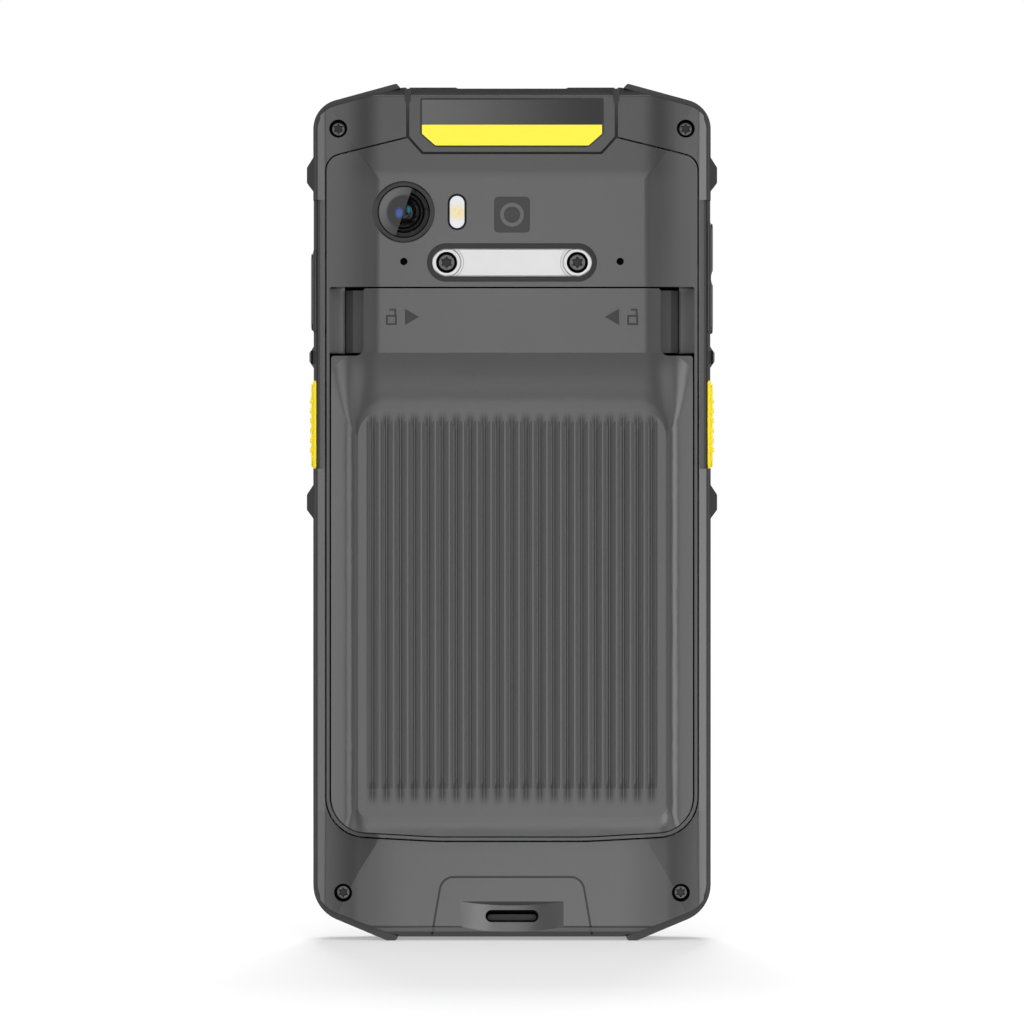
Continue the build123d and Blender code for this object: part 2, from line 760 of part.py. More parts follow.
def make_rear_housing():
    """Outer rear housing: rails, shoulders and chin, open where the rear panel sits."""
    slot_low = rear_height - skin - slot_depth
    with BuildPart() as housing:
        add(envelope)
        with BuildSketch(rear(parting)):
            add(box_face(-body_width, body_width, -overlap, overall_length))
        extrude(amount=above - parting, mode=Mode.INTERSECT)
        add(interior, mode=Mode.SUBTRACT)
        with BuildSketch(rear(parting)):
            add(discs(screw_places, post_r))
        extrude(amount=screw_seat + screw_head_high - parting)
        add(block(-slot_width / 2 - slot_wall, slot_width / 2 + slot_wall, slot_low - slot_floor,
                  rear_height - skin, foot + wall - slot_root, slot_z + slot_height / 2 + slot_wall))
        with BuildSketch(rear(bay_floor - seam)):
            add(grown(loop_face(), seam / 2))
        extrude(amount=above, mode=Mode.SUBTRACT)
        with BuildSketch(rear(parting - overlap)):
            add(grown(cap_face(), cap_seam / 2))
        extrude(amount=2 * above, mode=Mode.SUBTRACT)
        with BuildSketch(rear(screw_seat)):
            add(discs(screw_places, screw_well_r))
        extrude(amount=above, mode=Mode.SUBTRACT)
        with BuildSketch(rear(parting - overlap)):
            add(discs(screw_places, screw_r + screw_clear))
        extrude(amount=above, mode=Mode.SUBTRACT)
        with BuildSketch(rear(slot_low)):
            add(stadium(0, slot_z, slot_width, slot_height))
        extrude(amount=above, mode=Mode.SUBTRACT)
        with BuildSketch(Plane.XY.offset(foot - overlap)):
            add(stadium(0, -usb_h, usb_width + 2 * usb_gap, usb_height + 2 * usb_gap))
        extrude(amount=wall + 2 * overlap, mode=Mode.SUBTRACT)
        for sign in (-1, 1):
            add(on_side(guard(), sign))
        add(chin_groove(), mode=Mode.SUBTRACT)
        add(chin_hollow(), mode=Mode.SUBTRACT)
        add(upper_zone, mode=Mode.SUBTRACT)
        add(lower_zone, mode=Mode.SUBTRACT)
        for sign in (-1, 1):
            add(on_side(mid_bevel(), sign), mode=Mode.SUBTRACT)
            add(on_side(wall_slot(scan_z, scan_length, key_h, key_height, key_gap), sign),
                mode=Mode.SUBTRACT)
        add(wall_slot(volume_z, volume_length, key_h, key_height, rocker_gap),
            mode=Mode.SUBTRACT)
        add(mirrored(wall_slot(power_z, power_length, key_h, key_height, key_gap)),
            mode=Mode.SUBTRACT)
        add(side_port(plug_clear + side_port_edge, -half, -wall_in + overlap,
                      side_cover_length / 2 - contact_port_margin), mode=Mode.SUBTRACT)
        add(gasket_ring(), mode=Mode.SUBTRACT)
    return housing.part


def gasket_ring():
    """Seal between front frame and rear housing."""
    with BuildPart() as ring:
        outline = grown(body_face(), -gasket_out)
        add(ring_prism(outline, 0, gasket_width, parting, parting + gasket_width))
        add(prism(grown(cap_face(), cap_seam), parting - overlap, above), mode=Mode.SUBTRACT)
    return ring.part


def make_bumper(top, sign):
    """Rubber corner bumper: upper or lower, on one side."""
    z0 = overall_length - bumper_from_top if top else -overlap
    z1 = overall_length + overlap if top else lower_bumper_end
    with BuildPart() as bumper:
        with BuildSketch(rear(bumper_front)):
            add(bumper_face())
            add(bumper_inner, mode=Mode.SUBTRACT)
            add(box_face(cap_foot_x, body_width, z0, z1), mode=Mode.INTERSECT)
        extrude(amount=bumper_rear - bumper_front)
        with BuildSketch(Plane.XY.offset(-overlap)):
            add(twin_face([
                (half - bumper_bevel, -bumper_rear, bumper_bevel),
                (half, -bumper_rear + bumper_turn, bumper_bevel),
                (half + bump_out, -bumper_rear + bumper_turn + bump_slope, bumper_turn),
                (half + bump_out, -bumper_front - bumper_turn - bump_slope, bumper_turn),
                (half, -bumper_front - bumper_turn, bumper_bevel),
                (half - bumper_bevel, -bumper_front, bumper_bevel),
            ]))
        extrude(amount=overall_length + 2 * overlap, mode=Mode.INTERSECT)
        if not top and sign < 0:
            add(mirrored(cover_space(side_cover_gap)), mode=Mode.SUBTRACT)
    return on_side(bumper.part, sign)


# ================================================================ side cover
def cover_space(gap):
    """Space of the side cover on the left, widened by a gap."""
    return block(-half + bumper_strip, -half - bump_out, key_h - key_height / 2 - gap,
                 key_h + key_height / 2 + gap, side_cover_z - side_cover_length / 2 - gap,
                 side_cover_z + side_cover_length / 2 + gap)


def side_port(edge, x0, x1, reach):
    """Box in the left side around the side contacts."""
    return block(x0, x1, key_h - edge, key_h + edge, side_cover_z - reach, side_cover_z + reach)


def make_side_cover():
    """Rubber cover over the side contacts, hinged along its front edge."""
    back = -half + bumper_strip - side_cover_lift
    with BuildPart() as cover:
        add(side_port(key_height / 2, back, -half - side_cover_proud, side_cover_length / 2))
        chamfer(cover.edges().filter_by(Axis.Y).group_by(Axis.X)[0], side_cover_bevel)
        add(side_port(plug_clear - side_cover_gap, back, -wall_in + plug_reach,
                      side_cover_length / 2 - plug_margin))
    return cover.part


def make_side_contacts():
    """Service contact block behind the side cover."""
    with BuildPart() as contacts:
        outer = -wall_in + side_contact_gap
        add(side_port(plug_clear, outer, outer + side_contact_thick,
                      side_cover_length / 2 - side_contact_margin))
    return contacts.part


# ================================================================ rear panel and cap
def camera_room():
    """Hollow behind the camera area of the rear panel."""
    with BuildPart() as room:
        add(sunk(skin))
        with BuildSketch(rear(bay_floor - overlap)):
            add(grown(loop_face(), -seam / 2 - panel_wall))
            add(box_face(-body_width, body_width, battery_top + battery_gap + bay_wall_top,
                         overall_length), mode=Mode.INTERSECT)
        extrude(amount=above, mode=Mode.INTERSECT)
    return room.part


def scoop(sign):
    """Finger scoop beside the latch, rising to the rail."""
    outer = loop_x - seam / 2 - rim / 2
    inner = latch_x[1] + latch_gap
    rise = rear_height - rail_drop
    foot_h = floor_top - scoop_root
    lip = latch_bottom + scoop_lip
    z0 = notch_z + latch_margin - latch_gap
    with BuildPart() as form:
        with BuildSketch(Plane.XY.offset(z0)):
            with BuildLine():
                Line((inner, -foot_h), (inner, -lip))
                ThreePointArc((inner, -lip), (inner + scoop_turn, -lip - scoop_rise),
                              (outer, -rise))
                Polyline((outer, -rise), (outer, -foot_h), (inner, -foot_h))
            make_face()
        extrude(amount=battery_top + battery_gap + bay_wall_top / 2 - z0)
    return on_side(form.part, sign)


def make_rear_panel():
    """Inner rear panel: camera area above, open battery bay with its floor below."""
    with BuildPart() as panel:
        add(envelope)
        with BuildSketch(rear(bay_floor)):
            add(grown(loop_face(), -seam / 2))
        extrude(amount=above, mode=Mode.INTERSECT)
        with BuildSketch(rear(floor_top)):
            add(bay_face())
        extrude(amount=above, mode=Mode.SUBTRACT)
        add(camera_room(), mode=Mode.SUBTRACT)
        for sign in (-1, 1):
            add(scoop(sign))
            add(on_side(block(web_x - web_thick, web_x, key_h - key_height / 2,
                              bay_floor + floor_thick / 2, scan_z - web_below,
                              volume_z + web_above), sign))
        with BuildSketch(rear(tab_low - tab_room)):
            for sign in (-1, 1):
                add(box_face(sign * tab_x - tab_width / 2 - battery_gap,
                             sign * tab_x + tab_width / 2 + battery_gap,
                             loop_bottom - loop_corner_rise, pack_bottom + tab_root))
        extrude(amount=tab_high - tab_low + 2 * tab_room, mode=Mode.SUBTRACT)
        with BuildSketch(rear(bay_floor - overlap)):
            add(grown(box_face(-contact_width / 2, contact_width / 2, contact_z - contact_high / 2,
                               contact_z + contact_high / 2), contact_gap))
            add(box_face(*card_window))
        extrude(amount=floor_thick + 2 * overlap, mode=Mode.SUBTRACT)
        with BuildSketch(rear(nut_low)):
            add(discs(strap_places, nut_boss_r))
        extrude(amount=nut_deep + overlap)
        with BuildSketch(rear(nut_low - overlap)):
            add(discs(strap_places, strap_screw_r + screw_clear))
        extrude(amount=above, mode=Mode.SUBTRACT)
        with BuildSketch(rear(nut_low - overlap)):
            add(discs(strap_places, nut_r + nut_gap))
        extrude(amount=nut_length + overlap, mode=Mode.SUBTRACT)
        with BuildSketch(rear(rear_height - strap_sink)):
            add(stadium(0, strap_z, strap_length + 2 * strap_border,
                        strap_width + 2 * strap_border))
        extrude(amount=above, mode=Mode.SUBTRACT)
        with BuildSketch(rear(0)):
            add(discs([(camera_x, camera_z)], camera_r))
            add(stadium(flash_x, camera_z, flash_length + 2 * flash_rim,
                        flash_width + 2 * flash_rim, 90))
            add(discs([(-mic_x, strap_z + mic_up), (mic_x, strap_z + mic_up)], mic_r))
        extrude(amount=above, mode=Mode.SUBTRACT)
        with BuildSketch(rear(rear_height - deboss)):
            add(mark_face())
        extrude(amount=above, mode=Mode.SUBTRACT)
    return panel.part


def mark_face():
    """Plain square pad mark with a ring left standing in it."""
    with BuildSketch() as mark:
        with Locations((0, mark_z)):
            RectangleRounded(mark_size, mark_size, edge_r)
            Circle(mark_ring_r, mode=Mode.SUBTRACT)
            Circle(mark_dot_r)
    return mark.sketch


def make_scanner_cap():
    """Cap over the scan engine, with the window in its top edge."""
    with BuildPart() as cap:
        add(envelope)
        with BuildSketch(rear(parting)):
            add(grown(cap_face(), -cap_seam / 2))
        extrude(amount=above - parting, mode=Mode.INTERSECT)
        add(interior, mode=Mode.SUBTRACT)
        with BuildSketch(Plane.XY.offset(head - wall - overlap)):
            with Locations((0, -engine_h)):
                RectangleRounded(scan_glass_width - 2 * scan_glass_rim, engine_thick, board_r)
        extrude(amount=wall + 2 * overlap, mode=Mode.SUBTRACT)
        with BuildSketch(Plane.XY.offset(head - scan_glass_thick)):
            add(scan_opening(0))
        extrude(amount=wall, mode=Mode.SUBTRACT)
        add(prism(label_face(-label_gap), 0, above), mode=Mode.SUBTRACT)
        add(label_seat())
    return cap.part


def scan_opening(inset):
    """Outline of the scan window in the top edge, drawn in by inset."""
    with BuildSketch() as opening:
        with Locations((0, -engine_h)):
            RectangleRounded(scan_glass_width - 2 * inset,
                             engine_thick + 1.5 * scan_glass_rim - 2 * inset,
                             scan_glass_r - inset)
    return opening.sketch


def label_seat():
    """Skin of the cap left under the name plate."""
    with BuildPart() as seat:
        add(sunk(label_thick))
        with BuildSketch(rear(0)):
            add(label_face(-label_gap))
        extrude(amount=above, mode=Mode.INTERSECT)
        add(interior, mode=Mode.SUBTRACT)
    return seat.part


def make_name_plate():
    """Blank two-tone plate that follows the slope of the cap."""
    with BuildPart() as plate:
        add(envelope)
        with BuildSketch(rear(0)):
            add(label_face())
        extrude(amount=above, mode=Mode.INTERSECT)
        add(sunk(label_thick), mode=Mode.SUBTRACT)
    return plate.part


# ================================================================ camera, flash and strap
def make_camera_ring():
    """Bevelled trim ring round the camera window."""
    with BuildPart() as ring:
        with BuildSketch(rear(rear_height - ring_deep)):
            with Locations((camera_x, camera_z)):
                Circle(camera_r - camera_gap)
                Circle(window_r - window_rest, mode=Mode.SUBTRACT)
        extrude(amount=ring_deep + ring_proud)
        with BuildSketch(rear(rear_height - window_rest)):
            with Locations((camera_x, camera_z)):
                Circle(window_r + camera_gap)
        extrude(amount=above, mode=Mode.SUBTRACT)
        outer_edge = ring.edges().group_by(Axis.Y)[0].sort_by(SortBy.RADIUS)[-1]
        chamfer(outer_edge, ring_bevel)
    return ring.part


def make_camera_window():
    """Round cover glass of the camera."""
    with BuildPart() as window:
        with BuildSketch(rear(rear_height - window_rest)):
            add(discs([(camera_x, camera_z)], window_r))
        extrude(amount=window_thick)
    return window.part


def make_camera_module():
    """Camera: square base with its lens barrel."""
    with BuildPart() as module:
        with BuildSketch(rear(board_rear)):
            with Locations((camera_x, camera_z)):
                RectangleRounded(camera_box, camera_box, edge_r)
        extrude(amount=rear_height - barrel_low - board_rear)
        with BuildSketch(rear(rear_height - barrel_low)):
            add(discs([(camera_x, camera_z)], barrel_r))
        extrude(amount=barrel_low - barrel_top)
        with BuildSketch(rear(rear_height - barrel_top)):
            add(discs([(camera_x, camera_z)], pupil_r))
        extrude(amount=-pupil_deep, mode=Mode.SUBTRACT)
    return module.part


def make_flash_lens():
    """Clear diffuser of the flash."""
    return prism(stadium(flash_x, camera_z, flash_length, flash_width, 90),
                 rear_height - flash_deep, rear_height)


def make_flash_frame():
    """Black surround that holds the flash diffuser."""
    with BuildPart() as frame:
        lens = stadium(flash_x, camera_z, flash_length, flash_width, 90)
        add(prism(grown(lens, flash_rim - flash_gap), rear_height - frame_deep,
                  rear_height - flash_sink))
        add(prism(grown(lens, flash_gap), rear_height - flash_deep, above), mode=Mode.SUBTRACT)
        add(led_block(rear_height - frame_deep - overlap, above, flash_gap), mode=Mode.SUBTRACT)
    return frame.part


def led_block(low, high, gap):
    """Box of the light source between two heights, widened by a gap."""
    across, along = led_width / 2 + gap, led_length / 2 + gap
    return block(flash_x - across, flash_x + across, low, high, camera_z - along, camera_z + along)


def make_flash_led():
    """Light source on its post behind the diffuser."""
    return led_block(board_rear, rear_height - flash_deep - flash_gap, 0)


def make_strap_plate():
    """Metal wear plate for the hand strap, held by two screws."""
    low = rear_height - strap_sink
    with BuildPart() as plate:
        add(prism(stadium(0, strap_z, strap_length, strap_width), low, rear_height + strap_proud))
        chamfer(plate.edges().group_by(Axis.Y)[0], strap_bevel)
        add(prism(discs(strap_places, strap_counterbore_r), low + strap_counterbore, above),
            mode=Mode.SUBTRACT)
        add(prism(discs(strap_places, strap_screw_r + screw_clear), 0, above),
            mode=Mode.SUBTRACT)
    return plate.part


def make_screws(places, seat, head_r, head_high, shank_r, length, recess):
    """Pan-head screws at each (x, z) with a star recess."""
    with BuildPart() as screws:
        with BuildSketch(rear(seat)):
            add(discs(places, head_r))
        extrude(amount=head_high)
        fillet(screws.edges().group_by(Axis.Y)[0], head_edge_r)
        with BuildSketch(rear(seat)):
            add(discs(places, shank_r))
        extrude(amount=-length)
        with BuildSketch(rear(seat + head_high)):
            with Locations(*places):
                RegularPolygon(recess, 6)
        extrude(amount=-recess_deep, mode=Mode.SUBTRACT)
    return screws.part


def make_strap_nuts():
    """Threaded inserts for the strap screws."""
    with BuildPart() as nuts:
        with BuildSketch(rear(nut_low)):
            add(discs(strap_places, nut_r))
            add(discs(strap_places, strap_screw_r + nut_gap), mode=Mode.SUBTRACT)
        extrude(amount=nut_length)
    return nuts.part


# ================================================================ front
def glass_face():
    """Outline of the touch glass."""
    return grown(body_face(), -glass_inset)


def make_front_frame():
    """Front frame: outer rim, glass ledge and screw bosses."""
    with BuildPart() as frame:
        add(envelope)
        with BuildSketch(rear(-above)):
            add(box_face(-body_width, body_width, -overlap, overall_length))
        extrude(amount=above + parting, mode=Mode.INTERSECT)
        with BuildSketch(rear(-above)):
            add(grown(glass_face(), glass_gap))
        extrude(amount=above + glass_base, mode=Mode.SUBTRACT)
        with BuildSketch(rear(glass_base - overlap)):
            add(grown(glass_face(), -ledge))
        extrude(amount=above, mode=Mode.SUBTRACT)
        with BuildSketch(rear(glass_base + ledge_thick)):
            add(grown(body_face(), -wall))
        extrude(amount=above, mode=Mode.SUBTRACT)
        with BuildSketch(rear(glass_base + ledge_thick / 2)):
            add(discs(screw_places, post_r))
        extrude(amount=parting - glass_base - ledge_thick / 2)
        with BuildSketch(rear(glass_base + ledge_thick + screw_clear)):
            add(discs(screw_places, screw_r + screw_clear))
        extrude(amount=above, mode=Mode.SUBTRACT)
        add(upper_zone, mode=Mode.SUBTRACT)
        add(lower_zone, mode=Mode.SUBTRACT)
    return frame.part


def make_touch_glass():
    """Touch glass with an earpiece slot."""
    with BuildPart() as glass:
        with BuildSketch(rear(glass_top)):
            add(glass_face())
            add(stadium(0, earpiece_z, earpiece_slot, earpiece_slit), mode=Mode.SUBTRACT)
        extrude(amount=glass_thick)
    return glass.part


def make_display():
    """Display module behind the touch glass."""
    with BuildPart() as display:
        with BuildSketch(rear(glass_base)):
            with Locations((0, display_z)):
                RectangleRounded(display_width, display_length, board_r)
        extrude(amount=display_thick)
    return display.part


def make_mid_plate():
    """Stamped mid frame with the standoffs of the main board."""
    with BuildPart() as plate:
        with BuildSketch(rear(mid_top)):
            add(grown(body_face(), -wall - key_room - mid_gap))
            add(discs(screw_places, post_r + battery_gap), mode=Mode.SUBTRACT)
            add(grown(box_face(-flex_width / 2, flex_width / 2, flex_z, flex_z + flex_film),
                      flex_room), mode=Mode.SUBTRACT)
            add(grown(ear_face(), flex_room), mode=Mode.SUBTRACT)
        extrude(amount=plate_thick)
        with BuildSketch(rear(mid_base)):
            add(discs(board_screws_at, standoff_r))
        extrude(amount=standoff)
        with BuildSketch(rear(mid_top - overlap)):
            add(discs(board_screws_at, screw_r + screw_clear))
        extrude(amount=above, mode=Mode.SUBTRACT)
    return plate.part


def make_board(z0, z1, edge):
    """Circuit board between two z places, drilled for its screws."""
    held = [p for p in board_screws_at if z0 < p[1] < z1]
    with BuildPart() as board:
        with BuildSketch(rear(board_front)):
            with Locations((0, (z0 + z1) / 2)):
                RectangleRounded(2 * edge, z1 - z0, board_r)
            add(grown(body_face(), -wall - 2 * mid_gap), mode=Mode.INTERSECT)
            add(discs(held, screw_r + screw_clear), mode=Mode.SUBTRACT)
        extrude(amount=board_thick)
    return board.part


def make_shields():
    """Pressed shield cans over the processor and the radio."""
    cpu_z = contact_z - cpu_below
    radio_z0, radio_z1 = board_foot + radio_up, contact_z - radio_below
    high = board_rear + shield_thick
    with BuildPart() as cans:
        add(block(shield_left, shield_left + cpu_width, board_rear, high, cpu_z,
                  cpu_z + cpu_length))
        add(block(shield_left, shield_left + radio_width, board_rear, high, radio_z0, radio_z1))
        fillet(cans.edges().group_by(Axis.Y)[0], shield_r)
    return cans.part


def make_usb_socket():
    """Bottom data and charging socket: shell and tongue."""
    z0 = foot + usb_rise
    shell = stadium(0, -usb_h, usb_width, usb_height)
    with BuildPart() as socket:
        with BuildSketch(Plane.XY.offset(z0)):
            add(shell)
            add(grown(shell, -usb_shell), mode=Mode.SUBTRACT)
        extrude(amount=usb_length)
        with BuildSketch(Plane.XY.offset(z0 + usb_length - usb_back)):
            add(grown(shell, -usb_shell / 2))
        extrude(amount=usb_back)
        with BuildSketch(Plane.XY.offset(z0 + tongue_in)):
            with Locations((0, -usb_h)):
                Rectangle(tongue_width, tongue_thick)
        extrude(amount=usb_length - usb_back)
    return socket.part


# ================================================================ scanner and small parts
def make_scan_window():
    """Clear window in the top edge."""
    with BuildPart() as window:
        with BuildSketch(Plane.XY.offset(head - scan_glass_thick)):
            add(scan_opening(label_gap))
        extrude(amount=scan_glass_thick - scan_glass_sink)
    return window.part


def make_scan_engine():
    """Scan engine body with the seats of its two lenses."""
    low = engine_h - engine_thick / 2 + engine_play
    with BuildPart() as engine:
        add(block(-engine_width / 2, engine_width / 2, low,
                  low + engine_thick - 2 * engine_play, engine_foot, engine_top))
        with BuildSketch(Plane.XY.offset(engine_top - lens_deep)):
            add(discs([(imager_x, -engine_h)], imager_r + lens_gap))
            add(discs([(aimer_x, -engine_h)], aimer_r + lens_gap))
        extrude(amount=lens_deep + overlap, mode=Mode.SUBTRACT)
        add(block(-engine_foot_x, engine_foot_x, board_rear, low + overlap, engine_foot,
                  engine_foot + engine_foot_z))
    return engine.part


def make_engine_lens(x, radius):
    """Lens seated in the scan engine."""
    with BuildPart() as lens:
        with BuildSketch(Plane.XY.offset(engine_top - lens_deep)):
            add(discs([(x, -engine_h)], radius))
        extrude(amount=lens_thick)
        fillet(lens.edges().group_by(Axis.Z)[-1], lens_edge_r)
    return lens.part


def make_coil():
    """Flat pad coil behind the square mark."""
    with BuildPart() as coil:
        with BuildSketch(rear(rear_height - skin - coil_thick)):
            with Locations((coil_x, mark_z)):
                RectangleRounded(*coil_size, coil_band / 3)
                RectangleRounded(*(side - coil_band for side in coil_size), coil_band / 5,
                                 mode=Mode.SUBTRACT)
        extrude(amount=coil_thick)
    return coil.part


def make_microphones():
    """Microphones behind their two ports."""
    with BuildPart() as mics:
        for sign in (-1, 1):
            x = sign * mic_x
            z = strap_z + mic_up
            add(block(x - mic_size / 2, x + mic_size / 2, rear_height - skin - mic_thick,
                      rear_height - skin, z - mic_size / 2, z + mic_size / 2))
    return mics.part


# ================================================================ battery pack
def bulge_level(depth):
    """Outline of the battery bulge at a depth below its flat, in bulge heights."""
    run = depth ** ramp_curve
    side = bulge_x + ramp_side * run
    return twin_face([
        (side, bulge_bottom - ramp_bottom * run, bulge_low_r + ramp_low_r * run),
        (side, bulge_top + ramp_top * run, bulge_top_r + ramp_top_r * run),
    ])


def make_bulge():
    """Raised middle of the battery cover, with rounded ramps down to the rear face."""
    with BuildPart() as bulge:
        for depth in reversed(ramp_levels):
            with BuildSketch(rear(rear_height + battery_bulge * (1 - depth))):
                add(bulge_level(depth))
        loft()
    return bulge.part


def make_flutes():
    """Grip flutes in the bulge: narrow channels between convex lands."""
    top = rear_height + battery_bulge
    reach = groove_pitch / 2 - groove_land / 2
    floor = groove_floor / 2
    land_r = (reach - floor) ** 2 / (2 * groove_depth) + groove_depth / 2
    mid_x = (reach + floor) / 2
    mid_drop = groove_depth * land_bulge
    with BuildSketch() as channel:
        with BuildLine():
            Line((-floor, -top + groove_depth), (floor, -top + groove_depth))
            ThreePointArc((floor, -top + groove_depth), (mid_x, -top + mid_drop), (reach, -top))
            Polyline((reach, -top), (reach, -above), (-reach, -above), (-reach, -top))
            ThreePointArc((-reach, -top), (-mid_x, -top + mid_drop),
                          (-floor, -top + groove_depth))
        make_face()
    with BuildPart() as flutes:
        with BuildSketch(Plane.XY.offset(groove_low)):
            with GridLocations(groove_pitch, 1, groove_count, 1):
                add(channel.sketch)
        extrude(amount=groove_high - groove_low)
        with BuildSketch(Plane.YZ.offset(-body_width)):
            add(face_of([
                (-top - overlap, groove_low, 0),
                (-top + groove_depth, groove_low + groove_fade, 0),
                (-top + groove_depth, groove_high - groove_fade, 0),
                (-top - overlap, groove_high, 0),
            ]))
        extrude(amount=2 * body_width, mode=Mode.INTERSECT)
    return flutes.part


def icon_faces():
    """Open padlock and arrow beside each latch: which way to push."""
    with BuildSketch() as icons:
        for sign in (-1, 1):
            with BuildLine():
                base_x, tip_x = sign * arrow_x, sign * (arrow_x - arrow_length)
                Polyline((base_x, icon_z + icon_half), (tip_x, icon_z),
                         (base_x, icon_z - icon_half), (base_x, icon_z + icon_half))
            make_face()
            x = sign * (notch_x - lock_in)
            lid = icon_z + lock_line
            add(box_face(x - lock_half, x + lock_half, icon_z - icon_half, lid))
            add(box_face(x - lock_half + lock_line, x + lock_half - lock_line,
                         icon_z - icon_half + lock_line, icon_z), mode=Mode.SUBTRACT)
            add(box_face(x + shackle_x - lock_line, x + shackle_x, lid, icon_z + icon_half))
            add(box_face(x - lock_line, x + shackle_x, icon_z + icon_half - lock_line,
                         icon_z + icon_half))
    return icons.sketch


def make_battery_cover():
    """Rear cover of the battery pack: flange, ramped bulge and grip flutes."""
    with BuildPart() as cover:
        add(envelope)
        add(make_bulge())
        with BuildSketch(rear(cover_base)):
            add(pack_face())
        extrude(amount=above, mode=Mode.INTERSECT)
        add(make_flutes(), mode=Mode.SUBTRACT)
        with BuildSketch(rear(cover_base - overlap)):
            with Locations((0, (bulge_top + bulge_bottom) / 2)):
                RectangleRounded(2 * (bulge_x - cover_wall),
                                 bulge_top - bulge_bottom - 2 * cover_wall, cell_r)
        extrude(amount=rear_height + battery_bulge - cover_wall - cover_base + overlap,
                mode=Mode.SUBTRACT)
        with BuildSketch(rear(rear_height - deboss)):
            add(icon_faces())
        extrude(amount=above, mode=Mode.SUBTRACT)
    return cover.part


def make_battery_tray():
    """Inner tray of the battery pack, with the two hinge tabs at its foot."""
    outline = pack_face(tray_inset, tray_neck_x)
    with BuildPart() as tray:
        add(prism(outline, pack_base, cover_base))
        add(prism(grown(outline, -tray_wall), pack_base + tray_floor, above),
            mode=Mode.SUBTRACT)
        for sign in (-1, 1):
            add(block(sign * tab_x - tab_width / 2, sign * tab_x + tab_width / 2,
                      tab_low, tab_high, pack_bottom - tab_reach, pack_bottom + tab_root))
        add(block(-contact_width / 2, contact_width / 2, 0, pack_base + pad_thick,
                  contact_z - contact_high / 2, contact_z + contact_high / 2), mode=Mode.SUBTRACT)
        add(ring_prism(outline, battery_gap, seal_deep, pack_base + seal_low,
                       pack_base + seal_high), mode=Mode.SUBTRACT)
    return tray.part


def make_battery_seal():
    """Rubber seal in the groove round the tray."""
    return ring_prism(pack_face(tray_inset, tray_neck_x), seal_proud, seal_deep,
                      pack_base + seal_low, pack_base + seal_high)


def make_cell():
    """Lithium pouch cell inside tray and cover."""
    with BuildPart() as cell:
        low = pack_base + tray_floor + label_gap
        high = rear_height + battery_bulge - cover_wall - 2 * label_gap
        with BuildSketch(rear(low)):
            with Locations((0, (bulge_top + bulge_bottom) / 2 - cell_drop)):
                RectangleRounded(2 * (bulge_x - cover_wall - cell_gap),
                                 bulge_top - bulge_bottom - 2 * cover_wall - cell_short, cell_r)
        extrude(amount=high - low)
        fillet(cell.edges().filter_by(GeomType.LINE).filter_by(Axis.Z), cell_edge_r)
    return cell.part


def make_pack_board():
    """Protection board of the pack."""
    low = pack_base + tray_floor
    return block(-pack_board_width / 2, pack_board_width / 2, low, low + pack_board_thick,
                 bulge_top - pack_board_down, bulge_top + pack_board_up)


def make_pads(places, size, low, high):
    """Row of flat contact pads."""
    with BuildPart() as pads:
        with BuildSketch(rear(low)):
            with Locations(*places):
                Rectangle(*size)
        extrude(amount=high - low)
    return pads.part


def make_battery_socket():
    """Block of sprung battery contacts that comes up through the bay floor."""
    with BuildPart() as socket:
        add(block(-contact_width / 2, contact_width / 2, board_rear, floor_top - scoop_root,
                  contact_z - contact_high / 2, contact_z + contact_high / 2))
        add(make_pads(pad_places, pin_size, floor_top - scoop_root, pack_base - pin_gap))
    return socket.part


def make_latch():
    """Right latch: bevelled finger block and the slide that runs under the cover."""
    inner, outer = latch_x
    z0 = notch_z + latch_margin
    z1 = battery_top - latch_margin / 2
    with BuildPart() as latch:
        with BuildSketch(Plane.XY.offset(z0)):
            with BuildLine():
                Polyline((inner, -latch_bottom), (outer, -latch_bottom),
                         (outer, -latch_bottom - latch_lip), (outer - latch_bevel, -latch_top),
                         (inner, -latch_top), (inner, -latch_bottom))
            make_face()
        extrude(amount=z1 - z0)
        fillet(latch.edges().filter_by(Axis.Y).group_by(Axis.X)[-1], latch_gap)
        room = spring_r + spring_bore
        add(block(inner - overlap, inner + spring_seat, 0, above, (z0 + z1) / 2 - room,
                  (z0 + z1) / 2 + room), mode=Mode.SUBTRACT)
    return latch.part


def make_spring():
    """Right latch spring at its working length, seated on the tray."""
    mid = (notch_z + latch_margin + battery_top - latch_margin / 2) / 2
    start = tray_neck_x + latch_gap
    length = latch_x[0] + spring_seat - latch_travel - start - latch_gap
    with BuildPart() as spring:
        with BuildLine():
            coil = Helix(length / spring_turns, length, spring_r,
                         center=(start, -(latch_top + latch_bottom) / 2, mid),
                         direction=(1, 0, 0))
        with BuildSketch(Plane(origin=coil @ 0, z_dir=coil % 0)):
            Circle(spring_wire / 2)
        sweep()
    return spring.part


# ================================================================ small parts inside
def make_key_parts():
    """The side keys, their domes and flexes, by node name."""
    return {
        "power_key": mirrored(make_key(power_z, power_length, 0)),
        "volume_rocker": make_rocker(),
        "left_scan_key": mirrored(make_key(scan_z, scan_length, nub_count)),
        "right_scan_key": make_key(scan_z, scan_length, nub_count),
        "key_domes": pair(mirrored(make_domes((scan_z, power_z))),
                          make_domes((scan_z, volume_z - lobe_centre, volume_z + lobe_centre))),
        "key_flexes": pair(mirrored(make_key_flex(scan_z - flex_past, power_z + flex_past)),
                           make_key_flex(scan_z - flex_past, volume_z + lobe_centre + flex_end)),
    }


